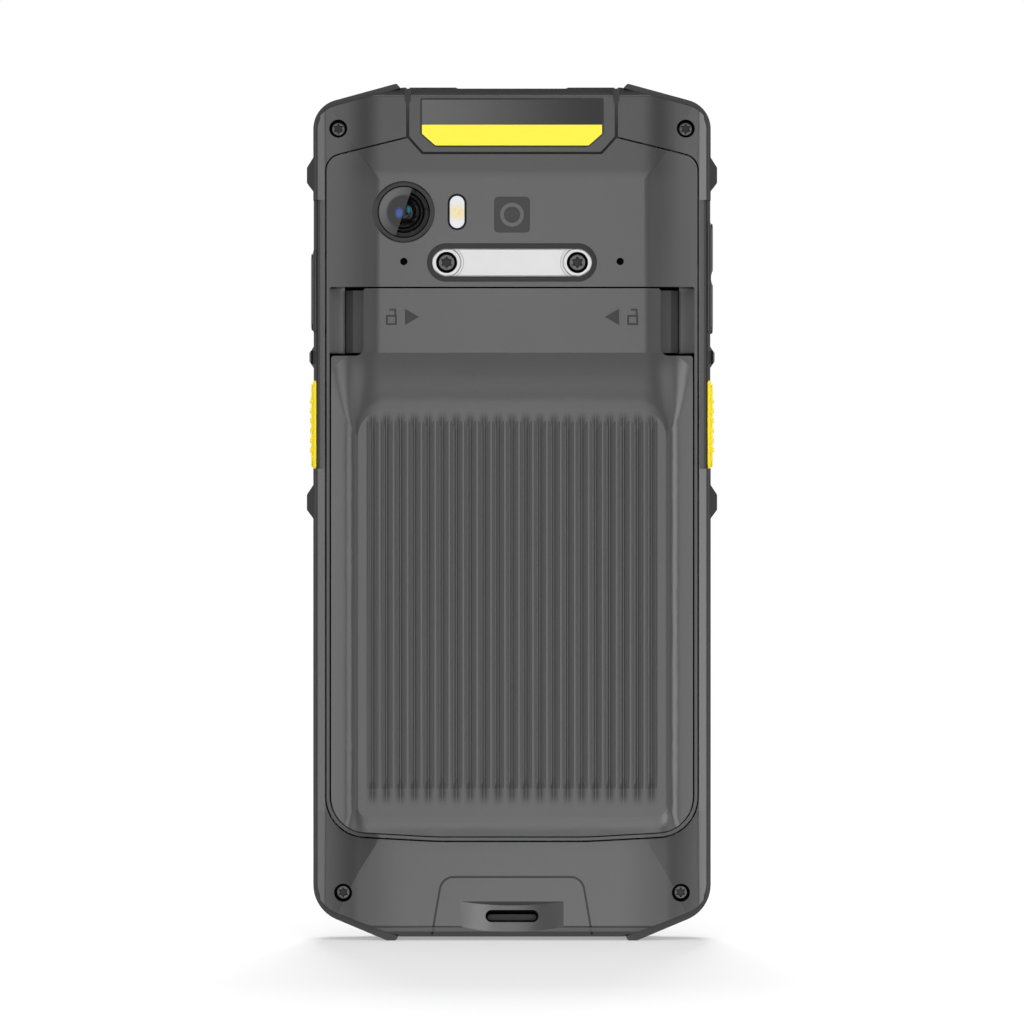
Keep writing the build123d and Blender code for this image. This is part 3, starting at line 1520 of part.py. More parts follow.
def make_chin_parts():
    """Speaker, vibration motor, data socket and board in the chin."""
    speaker_x = half - speaker_in
    return {
        "sub_board": make_board(sub_foot, sub_top, sub_edge),
        "usb_socket": make_usb_socket(),
        "speaker": block(speaker_x - speaker_width, speaker_x, board_rear,
                         board_rear + speaker_thick, speaker_low, speaker_low + speaker_length),
        "vibration_motor": prism(discs([(motor_in - half, motor_z)], motor_r), board_rear,
                                 board_rear + motor_thick),
    }


def ear_face():
    """Outline of the earpiece."""
    return box_face(-earpiece_width / 2, earpiece_width / 2, earpiece_z - earpiece_height / 2,
                    earpiece_z + earpiece_height / 2)


def make_front_parts():
    """Small parts behind the touch glass."""
    low, high = glass_base, glass_base + ear_part_thick
    return {
        "earpiece": prism(ear_face(), low, high),
        "front_camera": prism(discs([(front_camera_x, earpiece_z)], front_camera_r), low, high),
        "light_sensor": block(sensor_x - sensor_width / 2, sensor_x + sensor_width / 2, low,
                              low + sensor_thick, earpiece_z - sensor_height / 2,
                              earpiece_z + sensor_height / 2),
    }


def make_display_flex():
    """Flexible lead from the display through the mid plate to the board."""
    side, high = flex_width / 2, board_rear + flex_film
    with BuildPart() as flex:
        add(block(-side, side, display_base, high, flex_z, flex_z + flex_film))
        add(block(-side, side, board_rear, high, flex_z, board_foot + flex_foot))
    return flex.part


def make_card_socket():
    """Card socket on the main board, reached through the bay floor."""
    x0, x1, z0, z1 = card_window
    return block(x0 + card_gap, x1 - card_gap, board_rear, board_rear + card_thick,
                 z0 + card_gap, z1 - card_gap)


# ================================================================ assembly
def make_parts():
    """Every node of the terminal by name."""
    parts = {
        "rear_housing": make_rear_housing(),
        "front_frame": make_front_frame(),
        "rear_panel": make_rear_panel(),
        "scanner_cap": make_scanner_cap(),
        "name_plate": make_name_plate(),
        "housing_gasket": gasket_ring(),
        "side_cover": make_side_cover(),
        "side_contacts": make_side_contacts(),
        "touch_glass": make_touch_glass(),
        "display_module": make_display(),
        "mid_plate": make_mid_plate(),
        "main_board": make_board(board_foot, board_top, board_edge),
        "shield_cans": make_shields(),
        "card_socket": make_card_socket(),
        "battery_socket": make_battery_socket(),
        "display_flex": make_display_flex(),
        "scan_window": make_scan_window(),
        "scan_engine": make_scan_engine(),
        "imager_lens": make_engine_lens(imager_x, imager_r),
        "aimer_lens": make_engine_lens(aimer_x, aimer_r),
        "camera_ring": make_camera_ring(),
        "camera_window": make_camera_window(),
        "camera_module": make_camera_module(),
        "flash_lens": make_flash_lens(),
        "flash_frame": make_flash_frame(),
        "flash_led": make_flash_led(),
        "strap_plate": make_strap_plate(),
        "strap_screws": make_screws(strap_places, strap_seat, strap_screw_head_r,
                                    strap_screw_head, strap_screw_r, strap_screw_length,
                                    strap_recess_r),
        "strap_nuts": make_strap_nuts(),
        "case_screws": make_screws(screw_places, screw_seat, screw_head_r, screw_head_high,
                                   screw_r, screw_seat - glass_base - ledge_thick - screw_short,
                                   screw_recess_r),
        "board_screws": make_screws(board_screws_at, board_rear, board_screw_head_r,
                                    board_screw_head, screw_r,
                                    board_thick + standoff + plate_thick - screw_clear,
                                    screw_recess_r),
        "tag_coil": make_coil(),
        "microphones": make_microphones(),
        "battery_cover": make_battery_cover(),
        "battery_tray": make_battery_tray(),
        "battery_seal": make_battery_seal(),
        "battery_cell": make_cell(),
        "pack_board": make_pack_board(),
        "latch_springs": pair(mirrored(make_spring()), make_spring()),
        "pack_pads": make_pads(pad_places, pad_size, pack_base, pack_base + pad_thick),
    }
    for side, sign in sides:
        parts[f"upper_{side}_bumper"] = make_bumper(True, sign)
        parts[f"lower_{side}_bumper"] = make_bumper(False, sign)
        parts[f"{side}_latch"] = on_side(make_latch(), sign)
    parts.update(make_key_parts())
    parts.update(make_chin_parts())
    parts.update(make_front_parts())
    return parts


os.makedirs("parts", exist_ok=True)
for name, part in make_parts().items():
    part.label = name
    export_step(part, f"parts/{name}.step")
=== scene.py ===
import json
import math

import bpy
from mathutils import Matrix, Vector


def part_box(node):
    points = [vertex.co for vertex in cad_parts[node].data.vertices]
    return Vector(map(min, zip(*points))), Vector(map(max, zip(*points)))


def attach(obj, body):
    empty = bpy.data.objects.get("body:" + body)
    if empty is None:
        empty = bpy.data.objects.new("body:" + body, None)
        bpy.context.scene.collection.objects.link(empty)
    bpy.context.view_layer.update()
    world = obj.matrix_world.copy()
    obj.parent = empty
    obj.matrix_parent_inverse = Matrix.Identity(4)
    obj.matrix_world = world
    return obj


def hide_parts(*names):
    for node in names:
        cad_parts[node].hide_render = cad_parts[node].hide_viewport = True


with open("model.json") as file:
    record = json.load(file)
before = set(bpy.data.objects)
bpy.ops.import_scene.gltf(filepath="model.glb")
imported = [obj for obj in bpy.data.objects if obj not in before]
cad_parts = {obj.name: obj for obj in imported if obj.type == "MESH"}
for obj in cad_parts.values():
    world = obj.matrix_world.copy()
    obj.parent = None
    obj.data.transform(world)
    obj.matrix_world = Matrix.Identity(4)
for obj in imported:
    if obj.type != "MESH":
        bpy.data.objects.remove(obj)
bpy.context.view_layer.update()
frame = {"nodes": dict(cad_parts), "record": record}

nodes = frame["nodes"]
slot_of = {row["node"]: row["material_slot"] for row in frame["record"]["subparts"]}

# ================================================================ sizes and places
# In millimetres: x to the right of the rear, y towards the screen, z up from the foot.
MM = 0.001

# Screws: places, head radius, seat, top, shank radius and tip.
CASE_SCREWS = [(side * x, z) for x, z in ((32.0, 149.6), (31.1, 8.9)) for side in (-1, 1)]
CASE_SCREW = {"head": 1.28, "seat": -3.4, "top": -4.2, "shank": 0.75, "tip": 5.8}
STRAP_SCREW_OUT, STRAP_SCREW_HIGH = 12.03, 124.9
STRAP_SCREWS = [(side * STRAP_SCREW_OUT, STRAP_SCREW_HIGH) for side in (-1, 1)]
STRAP_SCREW = {"head": 1.48, "seat": -5.95, "top": -6.6, "shank": 1.0, "tip": -3.05}

# Star recess: reach by the head, hollows by the tips, floor by the mouth, rounding of the tips
# by the reach, depth, and the depths where its walls' painted shade starts and gives way to the
# paler painted shade of its floor.
STAR_REACH, STAR_WAIST, STAR_TAPER, STAR_ROUND, STAR_DEEP = 0.92, 0.60, 0.74, 0.16, 0.4
STAR_WALL = (0.02, STAR_DEEP - 0.04)

# Black rings round the screw heads, dark pieces that stand for the shade in their wells: inner and
# outer radius, front and back.
CASE_RING = (1.29, 1.66, -4.15, -3.5)
STRAP_RING = (1.49, 1.95, -6.3, -5.98)

# Arcs in the strap plate on the inner side of each screw: radius and half width, and how
# their painted shade fades out on each side.
WIDE_ARC, SLIM_ARC = (2.62, 0.13), (3.1, 0.08)
WIDE_FADE, SLIM_FADE = (0.08, 0.15), (0.04, 0.10)

# Latch pockets, and the running gap round the battery pack.
POCKET_SIDE, POCKET_FOOT = 27.0, 107.4
GAP_SIDE, GAP_FOOT, GAP_HEAD = 33.15, 19.7, 119.9

# Rear panel: depth of its walls, recesses, finger scoops and mitred corner creases.
PANEL_DEEP = -2.0
STRAP_RECESS = ((-15.7, -6.3, 121.2), (15.7, -5.0, 128.6))
SUNK_MARK = ((-4, -6.43, 130), (4, -6, 137.5))
SCOOP = ((-33.6, -4.9, 108.4), (33.6, -2.3, 120.1))
SCOOP_EDGE = (30.9, 31.4)
PANEL_CREASE = (23.4, 27.0, 31.0)
MITRE_FOOT, MITRE_SIDE, MITRE_SLOPE, MITRE_FADE = 140.4, 24.7, 0.75, (-2, 2)

# Battery cover: depth of its walls, signs, grip channels and edge creases.
COVER_DEEP = -3.9
SIGNS = ((-25, -6.43, 112), (25, -6, 118))
CHANNEL_PITCH = 2.56
CHANNEL_SIDE, CHANNEL_LEVEL = 27.0, -6.4
CHANNEL_FOOT, CHANNEL_HEAD = (24.6, 27.4), (95.4, 97.9)
CHANNEL_LINE = (0.04, 0.12)
COVER_CREASE, COVER_CREASE_WIDE = 28.9, 1.0
COVER_CREASE_FOOT, COVER_CREASE_HEAD = (19.5, 26), (94, 104)

# Rear housing: wells, foot edge, chin groove and hollow, creases, top edge and rail joint.
WELL_DEEP, WELL_SIDE, WELL_FOOT, WELL_HEAD = -3.6, 33.9, 3.2, 156
FOOT_EDGE = 1.7
CHIN_LEVEL, CHIN_SLOPE = -5.332, 0.0649
GROOVE_DEEP, GROOVE_SIDE, GROOVE_FOOT, GROOVE_HEAD = 0.12, 15.5, 2.6, 12.4
HOLLOW_SIDE, HOLLOW_HEAD = 9.6, 8.6
UPPER_CREASE, UPPER_CREASE_FOOT = (23.4, 27.0, 31.5), 142
LOWER_CREASE, CHIN_BAND, CHIN_HEAD = (26.6, 29.6, 37), (19, 28, 36), 24
TOP_EDGE = (155.2, 156.4)
RAIL_JOINT, JOINT_LINE = 35.95, (0.06, 0.24)
JOINT_FOOT, JOINT_HEAD = (8, 12), (149, 152)

# How strong the painted shade is in each hollow, crease and edge, from 0 to 1.
DARK = {"recess": 0.6, "mark": 0.5, "panel crease": 0.12, "mitre": 0.33, "signs": 0.55,
        "cover wall": 0.8, "channel": 0.8, "cover crease": 0.3, "foot": 0.5, "groove": 0.5,
        "upper crease": 0.47, "lower crease": 0.42, "chin": 0.24, "top": 0.55, "joint": 0.6}

# Name plate: border line, height of the dark field and cut of the lower corners.
PLATE_LINE, PLATE_DARK, PLATE_CUT = 0.28, 4.9, (2.75, 2.4)

# Printed border of the cover glass over the display's edge: at the sides and at the ends.
SCREEN_BORDER = (1.6, 2.4)

# Camera, from the middle of its window: painted reflection, painted bright band, black rim and
# painted coloured spots of reflection.
SHEEN_SLANT, SHEEN_BLUR, SHEEN_GLOW = 0.35, 0.03, (-1.0, 4.5)
BARREL_BAND, GLASS_RIM = (2.9, 3.4), (0.2, 0.12)
LEFT_SPOT, RIGHT_SPOT = (-0.85, -0.2), (0.85, 0.55)
GLASS_SPOT_FADE, LENS_SPOT_FADE, TINT_TURN = (0.02, 0.8), (0.02, 0.75), (-0.9, 0.9)
BARREL_PROFILE = [(4.2, 2.6), (4.2, -4.6), (3.86, -5.3), (3.5, -5.45), (3.45, -5.5),
                  (3.2, -5.5), (3.05, -5.3), (2.75, -5.0), (2.7, -4.7), (2.25, -4.5),
                  (2.1, -4.2), (0.3, -4.1)]
LENS_PROFILE = [(2.04, -4.2), (2.04, -4.4), (1.85, -4.62), (1.5, -4.82), (1.0, -4.98),
                (0.5, -5.05), (0.1, -5.07)]

# Flash: radians of its fine rings a millimetre, their lean to one side, and the lamp's glow.
FLASH_RINGS, FLASH_LEAN, FLASH_GLOW = 30, 1.5, (0.1, 2.3)

# Strap slot, microphones, cap seam and the strips beside the side keys.
SLOT_HIGH, SLOT_SIZE, SLOT_BORE, SLOT_DEEP = 4.55, (9.78, 2.24), (9.2, 1.7), -2.5
SLOT_FRONT, SLOT_FLOOR, BORE_FRONT = -4.95, 0.4, -7
BAR_HIGH, BAR_SIZE, BAR_FRONT = 4.2, (9.0, 1.2), -4.1
MIC_OUT, MIC_HIGH = 19.9, 125.1
MIC_PROFILE = [(0.66, -5.0), (0.66, -6.0), (0.5, -6.05), (0.1, -6.05)]
SEAM_PATH = [(19.2, 156.6), (19.2, 148.0), (16.5, 145.2), (-16.5, 145.2), (-19.2, 148.0),
             (-19.2, 156.6)]
SEAM_LEVEL, SEAM_WIDE, SEAM_THICK, SEAM_LAP, SEAM_EDGE = -5.1, 1.2, 0.6, 0.8, 0.1
STRIP_INNER, STRIP_OUTER, STRIP_THICK, STRIP_EDGE = (36.14, -2.78), (36.66, -1.68), 0.3, 0.1
KEY_WALL = 35.6


def metres(x, y, z):
    """A place or a size in metres from one in millimetres."""
    return x * MM, y * MM, z * MM


def corners(box):
    """The two corners of a box in millimetres from those in metres."""
    return [[place / MM for place in corner] for corner in box]


def middle(box):
    """The middle of a box seen from the rear, in millimetres: x and z."""
    low, high = corners(box)
    return (low[0] + high[0]) / 2, (low[2] + high[2]) / 2


def grey(value):
    """A grey of this brightness."""
    return (value, value, value, 1)


def shaded(colour, factor):
    """The colour made lighter or darker by a factor."""
    return tuple(part * factor for part in colour[:3]) + (1,)


# ================================================================ colours
HOUSING = grey(0.038)
KEY_YELLOW = (0.92, 0.72, 0.008, 1)
PLATE_YELLOW, PLATE_PALE = (0.72, 0.625, 0.034, 1), (0.76, 0.66, 0.038, 1)
FILM = (0.012, 0.003, 0.004, 1)
SCREEN_DARK = (0.010, 0.012, 0.016, 1)
# Painted blue reflection of the lens coating, on the camera window.
SPOT_BLUE = (0.015, 0.05, 0.22, 1)
COATING_BLUE, COATING_TEAL = (0.10, 0.18, 0.85, 1), (0.03, 0.26, 0.38, 1)
MILK_WHITE, MILK_SHADE = (0.60, 0.62, 0.67, 1), (0.34, 0.35, 0.38, 1)
LAMP_YELLOW = (0.66, 0.50, 0.12, 1)


# ================================================================ shader wiring
class Wire:
    """A socket that can be reckoned with: each sum adds its Math node."""

    def __init__(self, finish, socket):
        self.finish = finish
        self.socket = socket

    def reckon(self, operation, *values):
        return self.finish.add("ShaderNodeMath", {"operation": operation}, dict(enumerate(values)))

    def __add__(self, other):
        return self.reckon("ADD", self, other)

    def __radd__(self, other):
        return self.reckon("ADD", other, self)

    def __sub__(self, other):
        return self.reckon("SUBTRACT", self, other)

    def __rsub__(self, other):
        return self.reckon("SUBTRACT", other, self)

    def __mul__(self, other):
        return self.reckon("MULTIPLY", self, other)

    def __rmul__(self, other):
        return self.reckon("MULTIPLY", other, self)

    def __truediv__(self, other):
        return self.reckon("DIVIDE", self, other)

    def __rtruediv__(self, other):
        return self.reckon("DIVIDE", other, self)

    def __abs__(self):
        return self.reckon("ABSOLUTE", self)

    def root(self):
        return self.reckon("SQRT", self)

    def reach(self, other):
        """How far out a point lies that is this far across and the other far along."""
        return (self * self + other * other).root()

    def low(self, other):
        return self.reckon("MINIMUM", self, other)

    def high(self, other):
        return self.reckon("MAXIMUM", self, other)

    def wave(self):
        return self.reckon("SINE", self)

    def wrap(self, pitch):
        """The distance past the nearest multiple of the pitch."""
        return self.reckon("WRAP", self, pitch / 2, -pitch / 2)

    def over(self, edge):
        """1 where the value is over the edge, else 0."""
        return self.reckon("GREATER_THAN", self, edge)

    def under(self, edge):
        """1 where the value is under the edge, else 0."""
        return self.reckon("LESS_THAN", self, edge)

    def fade(self, start, end):
        """0 before start, 1 past end, smooth between them."""
        return self.finish.add("ShaderNodeMapRange", {"interpolation_type": "SMOOTHSTEP"},
                               {"Value": self, "From Min": start, "From Max": end})

    def span(self, foot, head):
        """Fades in over the foot range and out over the head range."""
        return self.fade(*foot) * (1 - self.fade(*head))

    def ridge(self, start, crest, end):
        """Fades in from start to crest and out from crest to end."""
        return self.span((start, crest), (crest, end))


class Finish:
    """One material, wired node by node round a Principled shader."""

    def __init__(self, name, **constants):
        self.material = bpy.data.materials.new(name)
        self.material.use_nodes = True
        self.tree = self.material.node_tree
        self.tree.nodes.clear()
        self.skin = self.tree.nodes.new("ShaderNodeBsdfPrincipled")
        self.output = self.tree.nodes.new("ShaderNodeOutputMaterial")
        self.tree.links.new(self.skin.outputs[0], self.output.inputs[0])
        for key, value in constants.items():
            self.skin.inputs[key.replace("_", " ")].default_value = value
        self.place = self.add("ShaderNodeTexCoord", {}, {}, "Object")

    def add(self, kind, settings=None, values=None, out=0):
        """A node of this kind: its settings first, then the values or links of its sockets."""
        node = self.tree.nodes.new(kind)
        for key, value in (settings or {}).items():
            setattr(node, key, value)
        for key, value in (values or {}).items():
            if isinstance(value, Wire):
                self.tree.links.new(value.socket, node.inputs[key])
            else:
                node.inputs[key].default_value = value
        return Wire(self, node.outputs[out])

    def feed(self, **links):
        """Links what varies over the surface to the shader's sockets."""
        for key, wire in links.items():
            self.tree.links.new(wire.socket, self.skin.inputs[key.replace("_", " ")])

    def paint_shade(self, mask):
        """Mixes in a dull black by the mask: painted shade for hollows, creases and edges that
        light hardly reaches.
        """
        dull = self.add("ShaderNodeBsdfPrincipled", {}, {
            "Base Color": grey(0.003), "Roughness": 0.9, "Specular IOR Level": 0.0})
        skin = Wire(self, self.skin.outputs[0])
        mixed = self.add("ShaderNodeMixShader", {}, {0: mask, 1: skin, 2: dull})
        self.tree.links.new(mixed.socket, self.output.inputs[0])

    def noise(self, size, detail=2.0, roughness=0.5):
        """Noise with features of about this size in millimetres."""
        return self.add("ShaderNodeTexNoise", {}, {
            "Vector": self.place, "Scale": 1 / (size * MM), "Detail": detail,
            "Roughness": roughness})

    def axis(self, letter):
        """The place along one axis, in millimetres."""
        return self.add("ShaderNodeSeparateXYZ", {}, {"Vector": self.place}, letter) / MM

    def about(self, box):
        """How far across and along from the middle of a box, in millimetres."""
        x, z = middle(box)
        return self.axis("X") - x, self.axis("Z") - z

    def within(self, low, high):
        """1 inside the box between two corners, 0 outside it."""
        inside = 1
        for letter, start, end in zip("XYZ", low, high):
            place = self.axis(letter)
            inside = place.over(start) * place.under(end) * inside
        return inside

    def mix(self, factor, first, second):
        """Colour between first and second."""
        return self.add("ShaderNodeMix", {"data_type": "RGBA"}, {0: factor, 6: first, 7: second}, 2)

    def bump(self, height, depth):
        """Relief of this depth in millimetres."""
        return self.add("ShaderNodeBump", {}, {
            "Height": height, "Distance": depth * MM, "Strength": 1.0})


# ================================================================ finishes
def moulded(name, colour, rough=0.2, grain=0.24, depth=0.0008, gloss=0.55, shade=None,
            painted_light=None):
    """Spark-eroded plastic: fine grain, slight mottling of colour and gloss; optional masks add
    painted light (a lighter colour) and painted shade (dull black).
    """
    finish = Finish(name, Specular_IOR_Level=gloss)
    fine = finish.noise(grain, 3.0, 0.65)
    broad = finish.noise(9)
    rubbed = finish.noise(26, 3.0).fade(0.5, 0.75)
    base = finish.mix(fine * 0.6 + broad * 0.4, shaded(colour, 0.88), colour)
    # Painted light: a lighter colour mixed in by the given mask.
    if painted_light:
        base = finish.mix(painted_light(finish), base, shaded(colour, 2.6))
    finish.feed(
        Base_Color=base,
        Roughness=rough + (fine - 0.5) * 0.06 + (broad - 0.5) * 0.03 - rubbed * 0.02,
        Normal=finish.bump(fine, depth))
    # Painted shade: dull black mixed in by the shade mask.
    if shade:
        finish.paint_shade(shade(finish))
    return finish.material


def latch_pocket(finish):
    """The two pockets that the latches slide in, and the running gap round the pack."""
    side, along = abs(finish.axis("X")), finish.axis("Z")
    pocket = side.over(POCKET_SIDE) * along.over(POCKET_FOOT)
    gap = side.over(GAP_SIDE).high(along.under(GAP_FOOT)).high(along.over(GAP_HEAD))
    return pocket.high(gap)


def panel_shade(finish):
    """Painted shade on the rear panel: latch pockets, strap recess, sunk mark and corner creases.
    """
    side, along = abs(finish.axis("X")), finish.axis("Z")
    deep = finish.axis("Y").over(PANEL_DEEP) * latch_pocket(finish)
    recess = finish.within(*STRAP_RECESS) * DARK["recess"]
    mark = finish.within(*SUNK_MARK) * DARK["mark"]
    rise = along - MITRE_FOOT
    inside = (MITRE_SIDE + rise * MITRE_SLOPE - side).over(0) * rise.over(0)
    crease = side.ridge(*PANEL_CREASE) * (DARK["panel crease"] + DARK["mitre"] * inside)
    crease = crease * rise.fade(*MITRE_FADE)
    return deep.high(recess).high(mark).high(crease)


def scoop_painted_light(finish):
    """Painted light on the finger scoops beside the latches: their colour is made lighter than the
    grained panel's.
    """
    return abs(finish.axis("X")).fade(*SCOOP_EDGE) * finish.within(*SCOOP)


def cover_shade(finish):
    """Painted shade on the battery cover: walls, signs, valleys of the grip channels (a thin line
    left lighter at each valley's bottom) and the edge creases.
    """
    across, level, along = (finish.axis(letter) for letter in "XYZ")
    deep = level.over(COVER_DEEP) * latch_pocket(finish) * DARK["cover wall"]
    signs = finish.within(*SIGNS) * DARK["signs"]
    field = abs(across).under(CHANNEL_SIDE) * level.under(CHANNEL_LEVEL)
    field = field * along.span(CHANNEL_FOOT, CHANNEL_HEAD)
    off = abs(across.wrap(CHANNEL_PITCH))
    slope = 1 - off / (CHANNEL_PITCH / 2)
    valley = slope * (0.5 + 0.5 * slope) * (0.1 + 0.9 * off.fade(*CHANNEL_LINE))
    crease = 1 - abs(abs(across) - COVER_CREASE).fade(0, COVER_CREASE_WIDE)
    crease = crease * along.span(COVER_CREASE_FOOT, COVER_CREASE_HEAD) * DARK["cover crease"]
    return deep.high(signs).high(field * valley * DARK["channel"]).high(crease)


def housing_shade(finish):
    """Painted shade on the rear housing: wells, foot edge, chin groove, the four corner creases,
    top edge and the line of the rail joint.
    """
    side, level, along = abs(finish.axis("X")), finish.axis("Y"), finish.axis("Z")
    deep = level.over(WELL_DEEP) * side.under(WELL_SIDE) * latch_pocket(finish)
    deep = deep * along.over(WELL_FOOT) * along.under(WELL_HEAD)
    foot = along.under(FOOT_EDGE) * level.under(0) * DARK["foot"]
    sunk = (level - (CHIN_LEVEL - along * CHIN_SLOPE)).over(GROOVE_DEEP) * side.under(GROOVE_SIDE)
    hollow = side.under(HOLLOW_SIDE) * along.under(HOLLOW_HEAD)
    groove = sunk * along.over(GROOVE_FOOT) * along.under(GROOVE_HEAD) * (1 - hollow)
    upper = side.ridge(*UPPER_CREASE) * along.over(UPPER_CREASE_FOOT) * DARK["upper crease"]
    lower = side.ridge(*LOWER_CREASE) * DARK["lower crease"]
    chin = lower.high(side.ridge(*CHIN_BAND) * DARK["chin"]) * along.under(CHIN_HEAD)
    top = along.fade(*TOP_EDGE) * DARK["top"]
    joint = 1 - abs(side - RAIL_JOINT).fade(*JOINT_LINE)
    joint = joint * along.span(JOINT_FOOT, JOINT_HEAD) * DARK["joint"]
    shade = deep.high(foot).high(groove * DARK["groove"])
    return shade.high(upper).high(chin).high(top).high(joint)


def key_stem_shade(finish):
    """Painted shade: the part of a scan key inside the wall is painted dark."""
    return abs(finish.axis("X")).under(KEY_WALL)


def rubber(name, colour, rough, gloss):
    """Soft-touch rubber: duller than the housing, with a finer grain and rubbed high spots."""
    finish = Finish(name, Specular_IOR_Level=gloss)
    fine = finish.noise(0.16, 3.0, 0.7)
    rubbed = finish.noise(5, 3.0).fade(0.52, 0.68)
    finish.feed(
        Base_Color=finish.mix(fine, shaded(colour, 0.85), colour),
        Roughness=rough + (fine - 0.5) * 0.1 - rubbed * 0.05,
        Normal=finish.bump(fine, 0.0015))
    return finish.material


def ink(name):
    """Dull black of screens, seals and wells, here for the dark pieces that stand for shade in the
    screw wells, the strap slot and the microphone holes.
    """
    finish = Finish(name, Specular_IOR_Level=0.0)
    fine = finish.noise(0.2)
    finish.feed(Base_Color=finish.mix(fine, grey(0.0021), grey(0.003)),
                Roughness=0.6 + fine * 0.2)
    return finish.material


def metal(name, colour, rough=0.3, grain=0.12):
    """Bead-blasted metal."""
    finish = Finish(name, Metallic=1.0)
    fine = finish.noise(grain, 3.0, 0.6)
    broad = finish.noise(3)
    finish.feed(
        Base_Color=finish.mix(fine * 0.5 + broad * 0.5, shaded(colour, 0.88), colour),
        Roughness=rough + (fine - 0.5) * 0.12,
        Normal=finish.bump(fine, 0.002))
    return finish.material


def screw_steel(name, top):
    """Black oxide steel: clean head, with painted shade on the walls and a paler painted shade on
    the floor of the star recess.
    """
    finish = Finish(name, Metallic=1.0)
    fine = finish.noise(0.12, 3.0, 0.6)
    sunk = finish.axis("Y") - top
    head = finish.mix(fine, grey(0.09), grey(0.12))
    # Painted shade: dark walls and a paler shaded floor in the star recess.
    walled = finish.mix(sunk.over(STAR_WALL[0]), head, grey(0.004))
    finish.feed(Base_Color=finish.mix(sunk.over(STAR_WALL[1]), walled, grey(0.032)),
                Roughness=0.36 + fine * 0.1, Normal=finish.bump(fine, 0.001))
    return finish.material


def plate_metal(name):
    """Blasted plate with painted shade in two arcs on the inner side of each screw."""
    finish = Finish(name, Metallic=1.0)
    fine = finish.noise(0.12, 3.0, 0.6)
    broad = finish.noise(3)
    inwards = abs(finish.axis("X")) - STRAP_SCREW_OUT
    along = finish.axis("Z") - STRAP_SCREW_HIGH
    reach = inwards.reach(along)
    wide = 1 - abs(reach - WIDE_ARC[0]).fade(*WIDE_FADE)
    slim = 1 - abs(reach - SLIM_ARC[0]).fade(*SLIM_FADE)
    arcs = wide.high(slim * 0.7) * inwards.under(0)
    base = finish.mix(fine * 0.5 + broad * 0.5, grey(0.49), grey(0.56))
    finish.feed(Base_Color=finish.mix(arcs * 0.6, base, grey(0.12)),
                Roughness=0.34 + fine * 0.12, Normal=finish.bump(fine, 0.002))
    return finish.material


def dark_glass(name):
    """Coated glass shown as a thin dark red film over what is behind it."""
    finish = Finish(name, Roughness=0.02, Specular_IOR_Level=0.1)
    smear = finish.noise(6, 3.0)
    finish.feed(Base_Color=finish.mix(smear, FILM, shaded(FILM, 0.8)),
                Alpha=0.7 + (smear - 0.5) * 0.04)
    return finish.material


def spot(across, along, centre, squeeze_x, squeeze_z):
    """Squared distance from the centre of an oval spot."""
    x, z = across - centre[0], along - centre[1]
    return x * x * squeeze_x + z * z * squeeze_z


def camera_glass(name):
    """Camera window: a painted reflection on one side of a slanted edge, clear glass on the other,
    and a black line round the rim.
    """
    finish = Finish(name, Roughness=0.02, Specular_IOR_Level=0.0, Coat_IOR=1.6,
                    Coat_Roughness=0.05)
    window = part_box("camera_window")
    low, high = corners(window)
    radius = (high[0] - low[0]) / 2
    across, along = finish.about(window)
    reach = across.reach(along)
    # Painted reflection: the pale side of the slanted edge is opaque and its colour is painted.
    sheen = (along * SHEEN_SLANT - across).fade(-SHEEN_BLUR, SHEEN_BLUR)
    # Painted highlight: the band behind the glass is lighter towards the upper left.
    glow = (along * 0.5 - across * 0.8).fade(*SHEEN_GLOW)
    band = finish.mix(glow, grey(0.012), grey(0.075))
    barrel = finish.mix(reach.fade(*BARREL_BAND), grey(0.002), band)
    # Painted reflection: a blue spot of the lens coating.
    blue = 1 - spot(across, along, LEFT_SPOT, 1, 0.6).fade(*GLASS_SPOT_FADE)
    painted_reflections = finish.mix(blue, barrel, SPOT_BLUE)
    rim = reach.fade(radius - GLASS_RIM[0], radius - GLASS_RIM[1])
    pale = sheen * (1 - rim)
    finish.feed(Base_Color=finish.mix(pale, grey(0.002), painted_reflections), Coat_Weight=pale * 0.35,
                Alpha=0.12 + sheen.high(rim) * 0.88)
    return finish.material


def lens_coating(name):
    """Dark glass whose coating turns from blue to teal across it, shown only in two spots of
    painted coloured reflection.
    """
    finish = Finish(name, Roughness=0.04, Specular_IOR_Level=0.3)
    across, along = finish.about(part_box("camera_window"))
    turn = (across * 0.9 + along * 0.5).fade(*TINT_TURN)
    tint = finish.mix(turn, COATING_BLUE, COATING_TEAL)
    # Painted coloured reflections: the coating's colour shows only in two spots.
    left = spot(across, along, LEFT_SPOT, 1, 0.6)
    right = spot(across, along, RIGHT_SPOT, 2.2, 1)
    spots = 1 - left.low(right).fade(*LENS_SPOT_FADE)
    spots = spots * (0.7 + 0.3 * finish.noise(0.5))
    finish.feed(Base_Color=finish.mix(spots, grey(0.004), tint))
    return finish.material


def screen_glass(name):
    """Cover glass: black printed border round a clear window over the display."""
    finish = Finish(name, Roughness=0.02, Specular_IOR_Level=0.5)
    low, high = corners(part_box("display_module"))
    centre, half = (low[2] + high[2]) / 2, (high[2] - low[2]) / 2
    window = abs(finish.axis("X")).under(high[0] - SCREEN_BORDER[0])
    window = window * abs(finish.axis("Z") - centre).under(half - SCREEN_BORDER[1])
    smear = finish.noise(9, 3.0)
    finish.feed(Base_Color=finish.mix(window, grey(0.004), SCREEN_DARK),
                Alpha=1 - window * (0.7 + smear * 0.05))
    return finish.material


